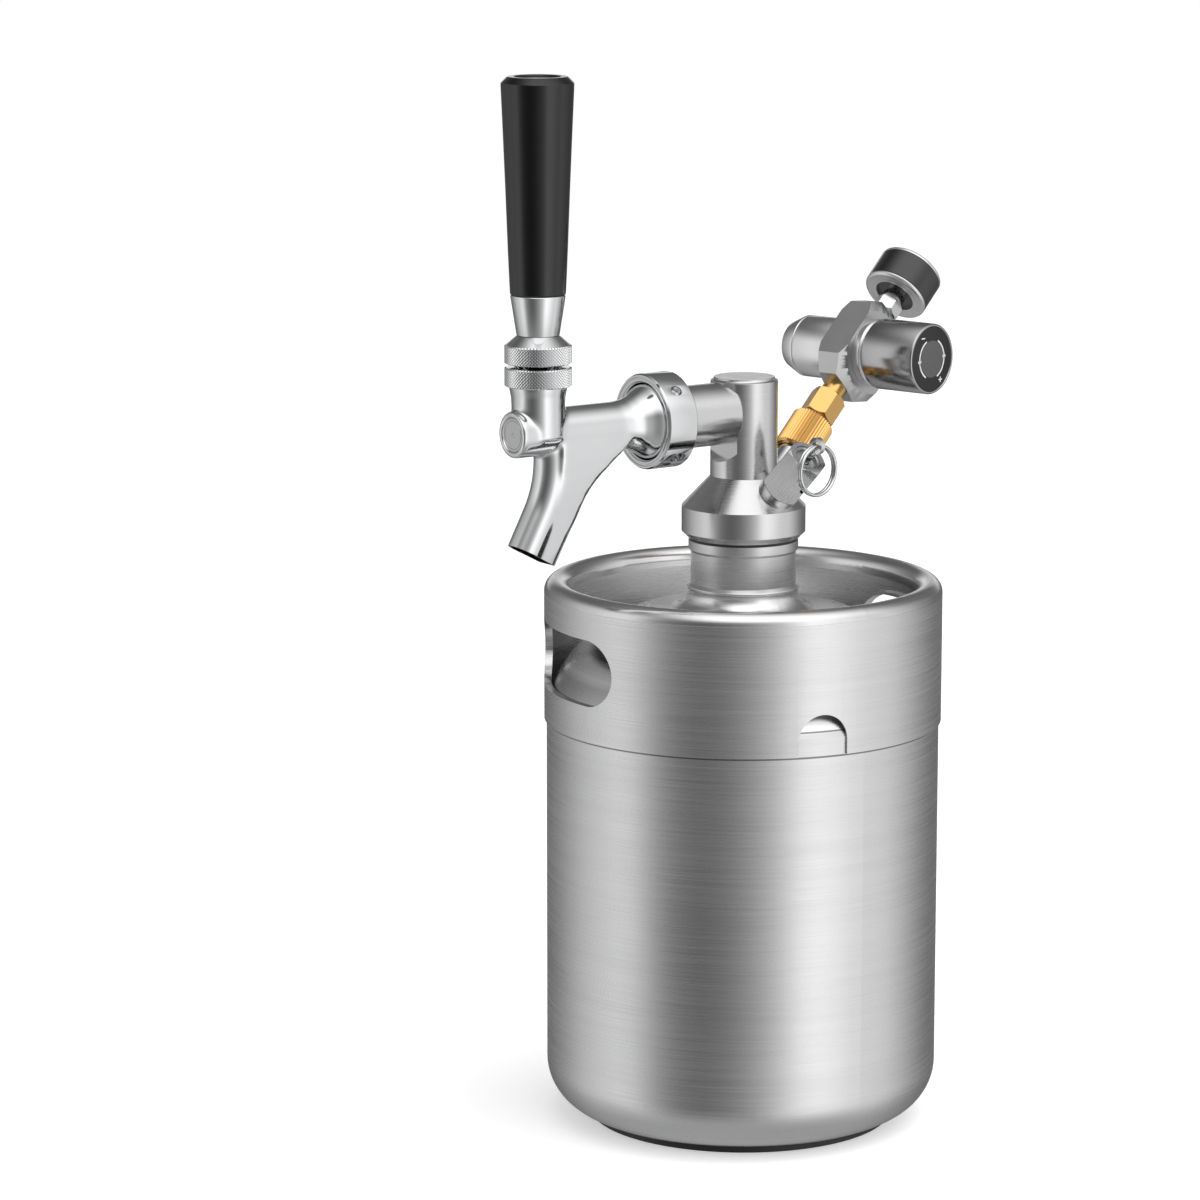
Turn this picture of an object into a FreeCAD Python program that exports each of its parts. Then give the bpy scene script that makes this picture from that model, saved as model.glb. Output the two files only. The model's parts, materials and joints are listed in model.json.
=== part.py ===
import FreeCAD, Part

import math
import os

import Sketcher

from FreeCAD import Placement, Rotation, Vector

# Mini keg beer dispenser: a four litre steel keg with a screw-on head that
# carries a chrome faucet, a relief valve and a small gas regulator.
# Lengths are in millimetres. The keg stands on the ground plane, its axis is
# the Z axis, and the faucet points along -Y.

os.makedirs("parts", exist_ok=True)
doc = FreeCAD.newDocument("MiniKegDispenser")

# ---------------------------------------------------------------- sizes

KEG_SIZES = {
    "keg_radius": 85.0,
    "skirt_wall": 1.0,
    "vessel_wall": 1.0,
    "base_corner": 22.0,
    "base_dish": 5.5,
    "base_dish_slope": 13.0,
    "foot_height": 2.7,
    "foot_overlap": 3.0,
    "foot_width": 8.0,
    "shoulder_seam": 182.0,
    "skirt_overlap": 7.4,
    "skirt_height": 60.8,
    "shoulder_height": 40.8,
    "shoulder_flat": 7.6,
    "shoulder_bulge": 60.0,
    "shoulder_flare": 9.0,
    "rim_tube": 5.45,
    "rim_lip": 7.9,
    "handle_slot_angle": 76.4,
    "handle_slot_width": 77.0,
    "handle_slot_height": 28.0,
    "handle_slot_rise": 29.4,
    "slot_flange_depth": 2.2,
    "slot_flange_wall": 1.4,
    "notch_angle": -13.6,
    "notch_width": 21.8,
    "notch_height": 17.4,
    "neck_radius": 22.4,
    "neck_wall": 3.0,
    "neck_bead": 1.1,
    "neck_bead_height": 3.6,
    "neck_thread_step": 1.1,
    "neck_flange_lip": 1.0,
    "neck_height": 25.4,
    "neck_flange_height": 3.8,
    "neck_thread_length": 11.6,
}

HEAD_SIZES = {
    "gasket_height": 1.2,
    "thread_gap": 0.3,
    "collar_overhang": 3.0,
    "collar_height": 13.4,
    "collar_chamfer": 2.6,
    "cone_height": 12.9,
    "tower_wall": 1.1,
    "tower_height": 42.3,
    "tower_edge": 1.4,
    "passage_radius": 4.0,
    "port_boss_radius": 8.4,
    "port_spigot_radius": 5.0,
    "port_bore_radius": 1.8,
    "tube_radius": 4.0,
    "tube_wall": 0.8,
    "tube_bottom": 14.0,
    "tube_seal_height": 3.0,
    "tube_seal_width": 2.2,
}

FAUCET_SIZES = {
    "faucet_drop": 14.9,
    "shank_radius": 13.2,
    "shank_start": 6.0,
    "shank_spigot_radius": 8.4,
    "shank_seat": 10.7,
    "shank_foot_radius": 13.0,
    "shank_foot_drop": 7.4,
    "shank_end": 44.5,
    "shank_flange_lip": 2.8,
    "shank_flange_length": 2.5,
    "shank_counterbore": 9.2,
    "shank_counterbore_depth": 11.5,
    "shank_washer_length": 1.5,
    "ring_wall": 4.1,
    "ring_length": 15.0,
    "ring_overlap": 6.2,
    "ring_lip": 3.4,
    "ring_chamfer": 1.2,
    "ring_gap": 0.3,
    "spanner_hole_radius": 2.5,
    "spanner_hole_depth": 3.2,
    "barrel_wall": 3.0,
    "barrel_length": 72.8,
    "barrel_bore": 6.4,
    "barrel_edge": 1.2,
    "bell_thread_length": 5.0,
    "bell_length": 12.0,
    "bell_curve": 13.2,
    "plug_step": 0.7,
    "plug_length": 5.4,
    "plug_recess": 0.5,
    "lever_setback": 13.1,
    "lever_collar_radius": 10.9,
    "lever_collar_overhang": 2.2,
    "spout_radius": 7.2,
    "spout_wall": 1.6,
    "spout_throw": 13.6,
    "spout_fall": 25.4,
    "spout_setback": 6.7,
    "spout_bend_drop": 24.0,
    "spout_bend_length": 10.0,
    "web_thickness": 8.0,
    "web_tail": 11.7,
    "web_waist_drop": 28.5,
    "web_waist_back": 11.4,
    "web_root_back": 34.5,
    "web_root_curve": 60.0,
}

LEVER_SIZES = {
    "pivot_rise": 18.1,
    "ball_radius": 7.5,
    "ball_gap": 0.3,
    "ball_washer_drop": 5.25,
    "ball_washer_height": 1.6,
    "ball_washer_lip": 0.6,
    "friction_washer_rise": 3.4,
    "finger_radius": 2.2,
    "finger_stem": 1.5,
    "finger_gap": 0.3,
    "stem_radius": 4.0,
    "knurl_radius": 13.9,
    "bonnet_rise": 1.3,
    "bonnet_height": 7.9,
    "bonnet_opening": 9.9,
    "ball_lip": 0.4,
    "bonnet_thread_depth": 3.5,
    "nut_gap": 1.5,
    "nut_height": 7.7,
    "nut_rim": 1.2,
    "nut_recess": 4.0,
    "nut_cone_height": 3.8,
    "ferrule_bottom_radius": 8.9,
    "ferrule_top_radius": 11.4,
    "ferrule_height": 16.7,
    "grip_top_radius": 15.0,
    "grip_height": 89.0,
    "grip_edge": 2.6,
    "grip_dimple": 0.8,
    "stud_radius": 4.76,
    "stud_depth": 20.0,
    "shaft_radius": 2.6,
    "shaft_guide_length": 14.0,
    "shaft_guide_width": 7.8,
    "finger_relief": 10.0,
    "shaft_gap": 0.3,
    "shaft_head_radius": 5.0,
    "shaft_head_length": 1.6,
    "seat_radius": 7.4,
    "seat_length": 1.8,
}

RELIEF_SIZES = {
    "relief_azimuth": 8.1,
    "relief_elevation": 45.0,
    "relief_rise": 0.3,
    "relief_hex": 16.0,
    "relief_start": 32.0,
    "relief_length": 21.6,
    "relief_spigot": 7.0,
    "relief_chamber": 5.2,
    "relief_floor": 4.6,
    "relief_cap_radius": 6.2,
    "relief_cap_length": 3.4,
    "relief_cap_recess": 0.5,
    "hex_chamfer": 1.0,
    "relief_seat_radius": 3.6,
    "relief_seat_length": 1.5,
    "pin_radius": 1.9,
    "pin_gap": 0.3,
    "pin_plate_radius": 4.4,
    "pin_plate_length": 1.0,
    "pin_rise": 7.6,
    "eye_radius": 3.6,
    "eye_hole": 1.9,
    "eye_thickness": 2.2,
    "pull_ring_radius": 10.4,
    "pull_wire": 0.75,
    "pull_turn_offset": 0.73,
    "relief_wire": 0.5,
    "relief_coil": 3.6,
    "spring_gap": 0.05,
}

GAS_SIZES = {
    "gas_azimuth": 104.1,
    "gas_elevation": 41.0,
    "gas_rise": 2.3,
    "gas_face": 31.0,
    "gas_spigot": 7.0,
    "gas_flange_length": 3.0,
    "gas_boss_radius": 7.6,
    "gas_thread_radius": 6.6,
    "gas_thread_length": 22.0,
    "gas_bore": 1.8,
    "swivel_radius": 9.5,
    "swivel_engagement": 11.5,
    "swivel_length": 19.0,
    "swivel_chamfer": 0.8,
    "swivel_gap": 0.3,
    "adapter_flange_length": 1.5,
    "adapter_neck_radius": 5.2,
    "adapter_gap": 1.3,
    "adapter_hex": 13.8,
    "adapter_hex_length": 13.0,
    "adapter_spigot_radius": 4.2,
    "adapter_spigot_length": 9.0,
    "adapter_reach": 5.7,
    "block_length": 43.0,
    "block_width": 31.0,
    "block_thickness": 15.0,
    "block_corner": 6.5,
    "block_turned_start": 18.1,
    "socket_radius": 13.5,
    "socket_length": 27.5,
    "socket_taper_length": 7.0,
    "socket_taper_radius": 10.2,
    "socket_spigot_radius": 9.0,
    "socket_spigot_length": 3.0,
    "cartridge_thread_radius": 4.25,
    "cartridge_thread_length": 11.0,
    "cartridge_chamber_radius": 5.8,
    "cartridge_seal_gap": 0.5,
    "cartridge_seal_length": 2.0,
    "pierce_radius": 1.0,
    "pierce_plate_length": 2.5,
    "collar_disc_radius": 14.8,
    "collar_disc_length": 4.6,
    "collar_disc_chamfer": 1.2,
    "bonnet_tube_radius": 12.6,
    "bonnet_tube_wall": 1.6,
    "bonnet_tube_length": 14.0,
    "diaphragm_length": 0.8,
    "diaphragm_plate_length": 1.6,
    "diaphragm_plate_radius": 7.5,
    "chamber_depth": 4.0,
    "knob_radius": 15.3,
    "knob_length": 27.2,
    "knob_gap": 0.5,
    "knob_roof": 3.6,
    "knob_edge": 0.7,
    "knob_hub_radius": 6.4,
    "knob_hub_length": 6.0,
    "label_margin": 1.3,
    "label_length": 0.5,
    "screw_radius": 4.0,
    "screw_gap": 0.1,
    "screw_disc_radius": 9.6,
    "screw_disc_length": 2.0,
    "spring_room": 10.6,
    "knob_cap": 2.8,
    "main_coil": 7.4,
    "main_wire": 0.7,
}

GAUGE_SIZES = {
    "gauge_radius": 14.5,
    "gauge_length": 16.5,
    "gauge_standoff": 3.8,
    "gauge_wall": 1.0,
    "gauge_hex": 11.0,
    "gauge_hex_length": 6.5,
    "gauge_neck": 1.2,
    "gauge_head_length": 0.8,
    "gauge_back_length": 1.6,
    "gauge_back_hole": 9.0,
    "gauge_stem_radius": 5.0,
    "gauge_plug_radius": 4.2,
    "gauge_plug_length": 9.0,
    "dial_gap": 0.3,
    "dial_length": 0.5,
    "dial_depth": 6.0,
    "needle_length": 9.0,
    "needle_tail": 3.5,
    "needle_width": 1.2,
    "needle_thickness": 0.4,
    "needle_hub": 1.6,
    "needle_rise": 1.2,
    "needle_rest": -135.0,
    "arbor_radius": 0.6,
    "arbor_gap": 0.05,
    "lens_length": 1.4,
    "bezel_width": 2.2,
    "bezel_length": 1.6,
    "bezel_chamfer": 0.6,
    "tube_coil": 8.2,
    "tube_section": 1.1,
    "tube_sweep": 250.0,
}

# ---------------------------------------------------------------- tools


class Size:
    """A length that carries its number and its spreadsheet expression."""

    def __init__(self, number, text):
        self.number = number
        self.text = text

    def join(self, sign, left, right):
        first, second = as_number(left), as_number(right)
        number = {
            "+": lambda: first + second,
            "-": lambda: first - second,
            "*": lambda: first * second,
            "/": lambda: first / second,
        }[sign]()
        return Size(number, f"({as_text(left)} {sign} {as_text(right)})")

    def __add__(self, other):
        return self.join("+", self, other)

    def __radd__(self, other):
        return self.join("+", other, self)

    def __sub__(self, other):
        return self.join("-", self, other)

    def __rsub__(self, other):
        return self.join("-", other, self)

    def __mul__(self, other):
        return self.join("*", self, other)

    def __rmul__(self, other):
        return self.join("*", other, self)

    def __truediv__(self, other):
        return self.join("/", self, other)

    def __neg__(self):
        return self.join("-", 0, self)

    def __float__(self):
        return float(self.number)


def root(value):
    return Size(math.sqrt(value.number), f"sqrt({value.text})")


def as_number(value):
    return value.number if isinstance(value, Size) else float(value)


def as_text(value):
    return value.text if isinstance(value, Size) else repr(float(value))


class Sheet:
    """Gives every spreadsheet cell as a Size under its own name."""


S = Sheet()
HEX_CORNER = math.tan(math.pi / 6)
BEVEL_SLOPE = math.tan(math.pi / 6)
SAME_POINT = 1e-6
START_POINT, END_POINT = 1, 2


def fill_sheet(groups):
    sheet = doc.addObject("Spreadsheet::Sheet", "Sizes")
    row = 0
    for group in groups:
        for name, value in group.items():
            row += 1
            sheet.set(f"A{row}", name)
            sheet.set(f"B{row}", str(value))
            sheet.setAlias(f"B{row}", name)
            setattr(S, name, Size(value, f"Sizes.{name}"))
    doc.recompute()


def bind(thing, prop, value):
    """Set a property, through the spreadsheet where the value comes from it."""
    if isinstance(value, Size):
        thing.setExpression(prop, value.text)
    elif prop.startswith("Placement.Base."):
        base = Vector(thing.Placement.Base)
        setattr(base, prop[-1], value)
        thing.Placement = Placement(base, thing.Placement.Rotation)
    else:
        setattr(thing, prop, value)


def origin_plane(body, role):
    return [item for item in body.Origin.OriginFeatures if item.Role == role][0]


def arc_between(start, end, radius):
    """Arc of the given radius; a positive radius bulges right of the way."""
    bulge = math.copysign(1.0, radius)
    size = abs(radius)
    chord = end - start
    normal = Vector(chord.y, -chord.x, 0).normalize() * bulge
    height = math.sqrt(max(size**2 - (chord.Length / 2) ** 2, 0.0))
    middle = (start + end) * 0.5
    centre = middle - normal * height
    crown = centre + normal * size
    return Part.Arc(start, crown, end)


def draw_outline(sketch, outline):
    """Close an outline of (x, y[, arc radius]) corners, all tied to sizes."""
    corners = [Vector(as_number(c[0]), as_number(c[1]), 0) for c in outline]
    count = len(outline)
    geometry = []
    for i in range(count):
        target = outline[(i + 1) % count]
        start, end = corners[i], corners[(i + 1) % count]
        if len(target) > 2:
            geometry.append(arc_between(start, end, as_number(target[2])))
        else:
            geometry.append(Part.LineSegment(start, end))
    sketch.addGeometry(geometry, False)
    starts, ends = [], []
    for i in range(count):
        gap = (sketch.getPoint(i, START_POINT) - corners[i]).Length
        near_start = gap < SAME_POINT
        starts.append(START_POINT if near_start else END_POINT)
        ends.append(END_POINT if near_start else START_POINT)
    constraints, expressions = [], {}
    for i in range(count):
        following = (i + 1) % count
        constraints.append(
            Sketcher.Constraint("Coincident", i, ends[i], following, starts[following])
        )
        for kind, axis, value in (
            ("DistanceX", -2, outline[i][0]),
            ("DistanceY", -1, outline[i][1]),
        ):
            if not isinstance(value, Size) and value == 0:
                constraints.append(
                    Sketcher.Constraint("PointOnObject", i, starts[i], axis)
                )
                continue
            expressions[len(constraints)] = value
            constraints.append(
                Sketcher.Constraint(kind, -1, 1, i, starts[i], as_number(value))
            )
        target = outline[following]
        if len(target) > 2:
            expressions[len(constraints)] = abs_size(target[2])
            constraints.append(
                Sketcher.Constraint("Radius", i, abs(as_number(target[2])))
            )
    sketch.addConstraint(constraints)
    for index, value in expressions.items():
        if isinstance(value, Size):
            sketch.setExpression(f"Constraints[{index}]", value.text)


def abs_size(value):
    return -value if as_number(value) < 0 else value


def turned(name, outline, place=None):
    """A body turned about its own Z axis from an outline of (radius, z)."""
    body = doc.addObject("PartDesign::Body", name)
    sketch = body.newObject("Sketcher::SketchObject", name + "_outline")
    sketch.AttachmentSupport = [(origin_plane(body, "XZ_Plane"), "")]
    sketch.MapMode = "FlatFace"
    draw_outline(sketch, outline)
    turn = body.newObject("PartDesign::Revolution", name + "_turn")
    turn.Profile = sketch
    turn.ReferenceAxis = (sketch, ["V_Axis"])
    turn.Angle = 360.0
    if place:
        body.Placement = place
    return body


def padded(name, outline, length, plane="YZ_Plane"):
    """A plate: an outline padded evenly to both sides of an origin plane."""
    body = doc.addObject("PartDesign::Body", name)
    sketch = body.newObject("Sketcher::SketchObject", name + "_outline")
    sketch.AttachmentSupport = [(origin_plane(body, plane), "")]
    sketch.MapMode = "FlatFace"
    draw_outline(sketch, outline)
    pad = body.newObject("PartDesign::Pad", name + "_pad")
    pad.Profile = sketch
    pad.Midplane = True
    bind(pad, "Length", length)
    return body


def tube_outline(outer, inner, bottom, top):
    return [(inner, bottom), (outer, bottom), (outer, top), (inner, top)]


def cylinder(name, radius, bottom, top, place=None):
    """A plain cylinder between two heights of a local frame."""
    rod = doc.addObject("Part::Cylinder", name)
    bind(rod, "Radius", radius)
    bind(rod, "Height", top - bottom)
    if place:
        base = place.Base + place.Rotation.multVec(Vector(0, 0, as_number(bottom)))
        rod.Placement = Placement(base, place.Rotation)
    else:
        bind(rod, "Placement.Base.z", bottom)
    return rod


def hexagon(name, across_flats, bottom, top):
    prism = doc.addObject("Part::Prism", name)
    prism.Polygon = 6
    bind(prism, "Circumradius", across_flats * HEX_CORNER)
    bind(prism, "Height", top - bottom)
    bind(prism, "Placement.Base.z", bottom)
    return prism


def box(name, width, depth, height, x, y, z):
    """A block centred on x and y that stands on z."""
    block = doc.addObject("Part::Box", name)
    bind(block, "Length", width)
    bind(block, "Width", depth)
    bind(block, "Height", height)
    bind(block, "Placement.Base.x", x - width / 2)
    bind(block, "Placement.Base.y", y - depth / 2)
    bind(block, "Placement.Base.z", z)
    return block


def cut(name, base, tool, place=None):
    result = doc.addObject("Part::Cut", name)
    result.Base = base
    result.Tool = tool
    if place:
        result.Placement = place
    return result


def fuse(name, shapes, place=None):
    result = doc.addObject("Part::MultiFuse", name)
    result.Shapes = shapes
    if place:
        result.Placement = place
    return result


def common(name, shapes, place=None):
    result = doc.addObject("Part::MultiCommon", name)
    result.Shapes = shapes
    if place:
        result.Placement = place
    return result


def coil(name, radius, wire, bottom, top, half_turns, place):
    """A compression spring whose half turns are arcs, each tilted to the next."""
    spring = doc.addObject("Part::Feature", name)
    margin = wire + S.spring_gap
    rise = as_number(top - bottom - margin * 2) / half_turns
    size = as_number(radius)
    crown = math.hypot(size, rise / 2)
    start = Vector(size, 0, as_number(bottom + margin))
    at, side, arcs = start, 1, []
    for _ in range(half_turns):
        middle = Vector(0, side * crown, at.z + rise / 2)
        end = Vector(-side * size, 0, at.z + rise)
        arcs.append(Part.Arc(at, middle, end).toShape())
        at, side = end, -side
    section = Part.Wire([Part.makeCircle(as_number(wire), start, Vector(0, 1, 0))])
    spring.Shape = Part.Wire(arcs).makePipeShell([section], True, True)
    spring.Placement = place
    return spring


def slanted(azimuth, elevation, height, station=0.0):
    """Frame on the keg's axis whose Z leans out at an azimuth and elevation."""
    lean = 90.0 - as_number(elevation)
    turn = Rotation(Vector(0, 0, 1), as_number(azimuth))
    turn = turn.multiply(Rotation(Vector(0, 1, 0), lean))
    base = Vector(0, 0, as_number(height))
    base += turn.multVec(Vector(0, 0, as_number(station)))
    return Placement(base, turn)


def keep(thing):
    """List a finished sub-part for export."""
    thing.Label = thing.Name
    finished.append(thing)
    return thing


finished = []

fill_sheet(
    [KEG_SIZES, HEAD_SIZES, FAUCET_SIZES, LEVER_SIZES, RELIEF_SIZES, GAS_SIZES,
     GAUGE_SIZES]
)

# ---------------------------------------------------------------- shared places

AXIS_X = Vector(1, 0, 0)
SPANNER_HOLES = 4
RELIEF_HALF_TURNS = 10
MAIN_HALF_TURNS = 8

# Keg: radii from the wall inwards, heights from the shoulder seam.
vessel_radius = S.keg_radius - S.skirt_wall
foot_radius = vessel_radius - S.base_corner + S.foot_overlap
base_dish_radius = foot_radius - S.foot_width - S.base_dish_slope
skirt_bottom = S.shoulder_seam - S.skirt_overlap
rim_top = skirt_bottom + S.skirt_height
handle_slot_middle = skirt_bottom + S.handle_slot_rise
shoulder_top = S.shoulder_seam + S.shoulder_height
shoulder_edge = S.neck_radius + S.shoulder_flare + S.shoulder_flat
neck_bore = S.neck_radius - S.neck_wall
neck_thread_radius = S.neck_radius - S.neck_thread_step
neck_flange_radius = S.neck_radius + S.neck_flange_lip
neck_flange_bottom = shoulder_top + S.neck_height
neck_top = neck_flange_bottom + S.neck_flange_height + S.neck_thread_length

# Head: it seats on the neck's gasket; the faucet axis hangs from the tower's top.
collar_radius = neck_flange_radius + S.collar_overhang
collar_bottom = neck_flange_bottom + S.neck_flange_height + S.gasket_height
collar_top = collar_bottom + S.collar_height
tower_radius = S.shank_radius + S.tower_wall
tower_bottom = collar_top + S.cone_height
tower_top = tower_bottom + S.tower_height
cap_ceiling = neck_top + S.thread_gap
faucet_height = tower_top - S.faucet_drop

# Faucet: stations run out along its axis from the keg's axis.
shank_flange_radius = S.shank_radius + S.shank_flange_lip
ring_radius = shank_flange_radius + S.ring_wall
ring_start = S.shank_end - S.ring_overlap
body_start = S.shank_end + S.shank_washer_length
barrel_radius = S.barrel_bore + S.barrel_wall
barrel_end = body_start + S.barrel_length
plug_radius = S.barrel_bore + S.plug_step
lever_station = barrel_end - S.lever_setback
lever_collar_lip = S.lever_collar_radius + S.lever_collar_overhang
spout_bore = S.spout_radius - S.spout_wall
spout_bend_station = lever_station - S.spout_setback
spout_mouth_station = spout_bend_station + S.spout_throw
spout_mouth_drop = S.spout_bend_drop + S.spout_fall
bonnet_bottom = S.pivot_rise + S.bonnet_rise
bonnet_throat = S.ball_radius - S.ball_lip
faucet_place = Placement(Vector(0, 0, float(faucet_height)), Rotation(AXIS_X, 90))
lever_place = Placement(
    Vector(0, -float(lever_station), float(faucet_height)), Rotation()
)

# Relief valve and gas side: stations run out along each slanted port.
relief_origin = collar_bottom + S.relief_rise
relief_place = slanted(S.relief_azimuth, S.relief_elevation, relief_origin)
gas_origin = collar_bottom + S.gas_rise
gas_boss_end = S.gas_face + S.gas_flange_length
gas_thread_end = gas_boss_end + S.gas_thread_length
swivel_start = gas_thread_end - S.swivel_engagement
swivel_end = swivel_start + S.swivel_length
adapter_hex_start = swivel_end + S.adapter_gap
adapter_hex_end = adapter_hex_start + S.adapter_hex_length
block_station = adapter_hex_end + S.adapter_reach + S.block_length / 2
gas_place = slanted(S.gas_azimuth, S.gas_elevation, gas_origin)
block_place = slanted(
    S.gas_azimuth, S.gas_elevation, gas_origin, block_station
).multiply(Placement(Vector(0, 0, 0), Rotation(AXIS_X, 90)))
gauge_hex_start = block_station + S.block_length / 2 + S.gauge_neck
gauge_hex_end = gauge_hex_start + S.gauge_hex_length
gauge_station = gauge_hex_end + S.gauge_standoff
dial_radius = S.gauge_radius - S.gauge_wall - S.dial_gap

# Regulator: stations run along the knob's axis from the block's middle.
block_front = S.block_thickness / 2
bonnet_tube_bore = S.bonnet_tube_radius - S.bonnet_tube_wall
diaphragm_top = block_front - S.chamber_depth / 2 + S.diaphragm_length
spring_plate_top = diaphragm_top + S.diaphragm_plate_length
screw_station = spring_plate_top + S.spring_room
knob_start = block_front + S.collar_disc_length + S.knob_gap
knob_end = knob_start + S.knob_length
label_radius = S.knob_radius - S.label_margin
label_bottom = knob_end - S.label_length
screw_hole_end = label_bottom - S.knob_cap
screw_top = screw_hole_end - S.knob_gap * 2

# ---------------------------------------------------------------- keg


def make_keg():
    wall = S.vessel_wall
    dish = S.foot_height + S.base_dish
    foot_inner = foot_radius - S.foot_width
    flat_edge = vessel_radius - S.base_corner
    corner_top = S.foot_height + S.base_corner
    keep(turned("keg_base", [
        (0, dish),
        (base_dish_radius, dish),
        (foot_inner, S.foot_height),
        (flat_edge, S.foot_height),
        (vessel_radius, corner_top, S.base_corner),
        (vessel_radius - wall, corner_top),
        (flat_edge, S.foot_height + wall, wall - S.base_corner),
        (foot_inner + wall / 2, S.foot_height + wall),
        (base_dish_radius + wall / 2, dish + wall),
        (0, dish + wall),
    ]))
    keep(turned("keg_body", tube_outline(
        vessel_radius, vessel_radius - wall, corner_top, S.shoulder_seam)))
    flare_top = shoulder_top + S.shoulder_flare
    flare_edge = S.neck_radius + S.shoulder_flare
    keep(turned("keg_shoulder", [
        (vessel_radius, S.shoulder_seam),
        (shoulder_edge, shoulder_top, S.shoulder_bulge),
        (flare_edge, shoulder_top),
        (S.neck_radius + wall, flare_top - wall, wall - S.shoulder_flare),
        (S.neck_radius, flare_top - wall),
        (S.neck_radius, shoulder_top - wall),
        (shoulder_edge, shoulder_top - wall),
        (vessel_radius - wall, S.shoulder_seam, wall - S.shoulder_bulge),
    ]))
    flange_top = neck_flange_bottom + S.neck_flange_height
    keep(turned("keg_neck", [
        (neck_bore, shoulder_top - wall),
        (S.neck_radius, shoulder_top - wall),
        (S.neck_radius, neck_flange_bottom - S.neck_bead),
        (neck_flange_radius, neck_flange_bottom),
        (neck_flange_radius, flange_top),
        (neck_thread_radius, flange_top),
        (neck_thread_radius, neck_top - S.neck_bead),
        (neck_thread_radius - S.neck_bead, neck_top),
        (neck_bore, neck_top),
    ]))
    bead_bottom = flare_top - wall
    keep(turned("neck_bead", [
        (S.neck_radius, bead_bottom),
        (S.neck_radius + wall, bead_bottom),
        (S.neck_radius + wall, bead_bottom + S.neck_bead_height / 2, S.neck_bead),
        (S.neck_radius, bead_bottom + S.neck_bead_height / 2 + wall),
    ]))
    keep(turned("foot_ring", tube_outline(foot_radius, foot_inner, 0, S.foot_height)))


def stadium(name, width, height, depth):
    """An upright slot shape along local Z, centred on the local origin."""
    half = height / 2
    reach = (width - height) / 2
    middle = box(name + "_middle", width - height, height, depth, 0, 0, -depth / 2)
    ends = []
    for side in (-1, 1):
        end = cylinder(f"{name}_end{side + 1}", half, -depth / 2, depth / 2)
        bind(end, "Placement.Base.x", side * reach)
        ends.append(end)
    return fuse(name, [middle] + ends)


def facing_out(azimuth, height):
    """Frame whose Z points out level and whose Y points up."""
    turn = Rotation(Vector(0, 0, 1), azimuth).multiply(Rotation(Vector(0, 1, 0), 90))
    turn = turn.multiply(Rotation(Vector(0, 0, 1), 90))
    return Placement(Vector(0, 0, as_number(height)), turn)


def make_skirt():
    wall = S.skirt_wall
    bead_height = rim_top - S.rim_tube
    lip = rim_top - S.rim_lip
    inner = S.keg_radius - S.rim_tube * 2
    shell = turned("skirt_shell", tube_outline(
        S.keg_radius, S.keg_radius - wall, skirt_bottom, bead_height))
    keep(turned("rim_bead", [
        (S.keg_radius - wall, bead_height, wall - S.rim_tube),
        (S.keg_radius, bead_height),
        (S.keg_radius - S.rim_tube, rim_top, S.rim_tube),
        (inner, bead_height, S.rim_tube),
        (inner, lip),
        (inner + wall, lip),
        (inner + wall, bead_height),
        (S.keg_radius - S.rim_tube, rim_top - wall, wall - S.rim_tube),
    ]))
    long_cut = S.keg_radius * 3
    slot = stadium("slot_shape", S.handle_slot_width, S.handle_slot_height, long_cut)
    slot.Placement = facing_out(float(S.handle_slot_angle), handle_slot_middle)
    rim_size = S.slot_flange_wall * 2
    flange_out = stadium("flange_shape", S.handle_slot_width + rim_size,
                         S.handle_slot_height + rim_size, long_cut)
    flange_out.Placement = slot.Placement
    flange_ring = turned("flange_band", tube_outline(
        S.keg_radius - wall, S.keg_radius - wall - S.slot_flange_depth,
        handle_slot_middle - S.handle_slot_height,
        handle_slot_middle + S.handle_slot_height))
    flange = common("flange_blank", [flange_out, flange_ring])
    straight = S.notch_height - S.notch_width / 2
    notch_box = box("notch_box", S.notch_width, straight * 2, long_cut, 0, 0,
                    -long_cut / 2)
    notch_end = cylinder("notch_end", S.notch_width / 2, -long_cut / 2, long_cut / 2)
    bind(notch_end, "Placement.Base.y", straight)
    notch = fuse("notch_shape", [notch_box, notch_end])
    notch.Placement = facing_out(float(S.notch_angle), skirt_bottom)
    blank = fuse("skirt_blank", [shell, flange])
    openings = fuse("skirt_openings", [slot, notch])
    keep(cut("top_skirt", blank, openings))


# ---------------------------------------------------------------- head


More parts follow.
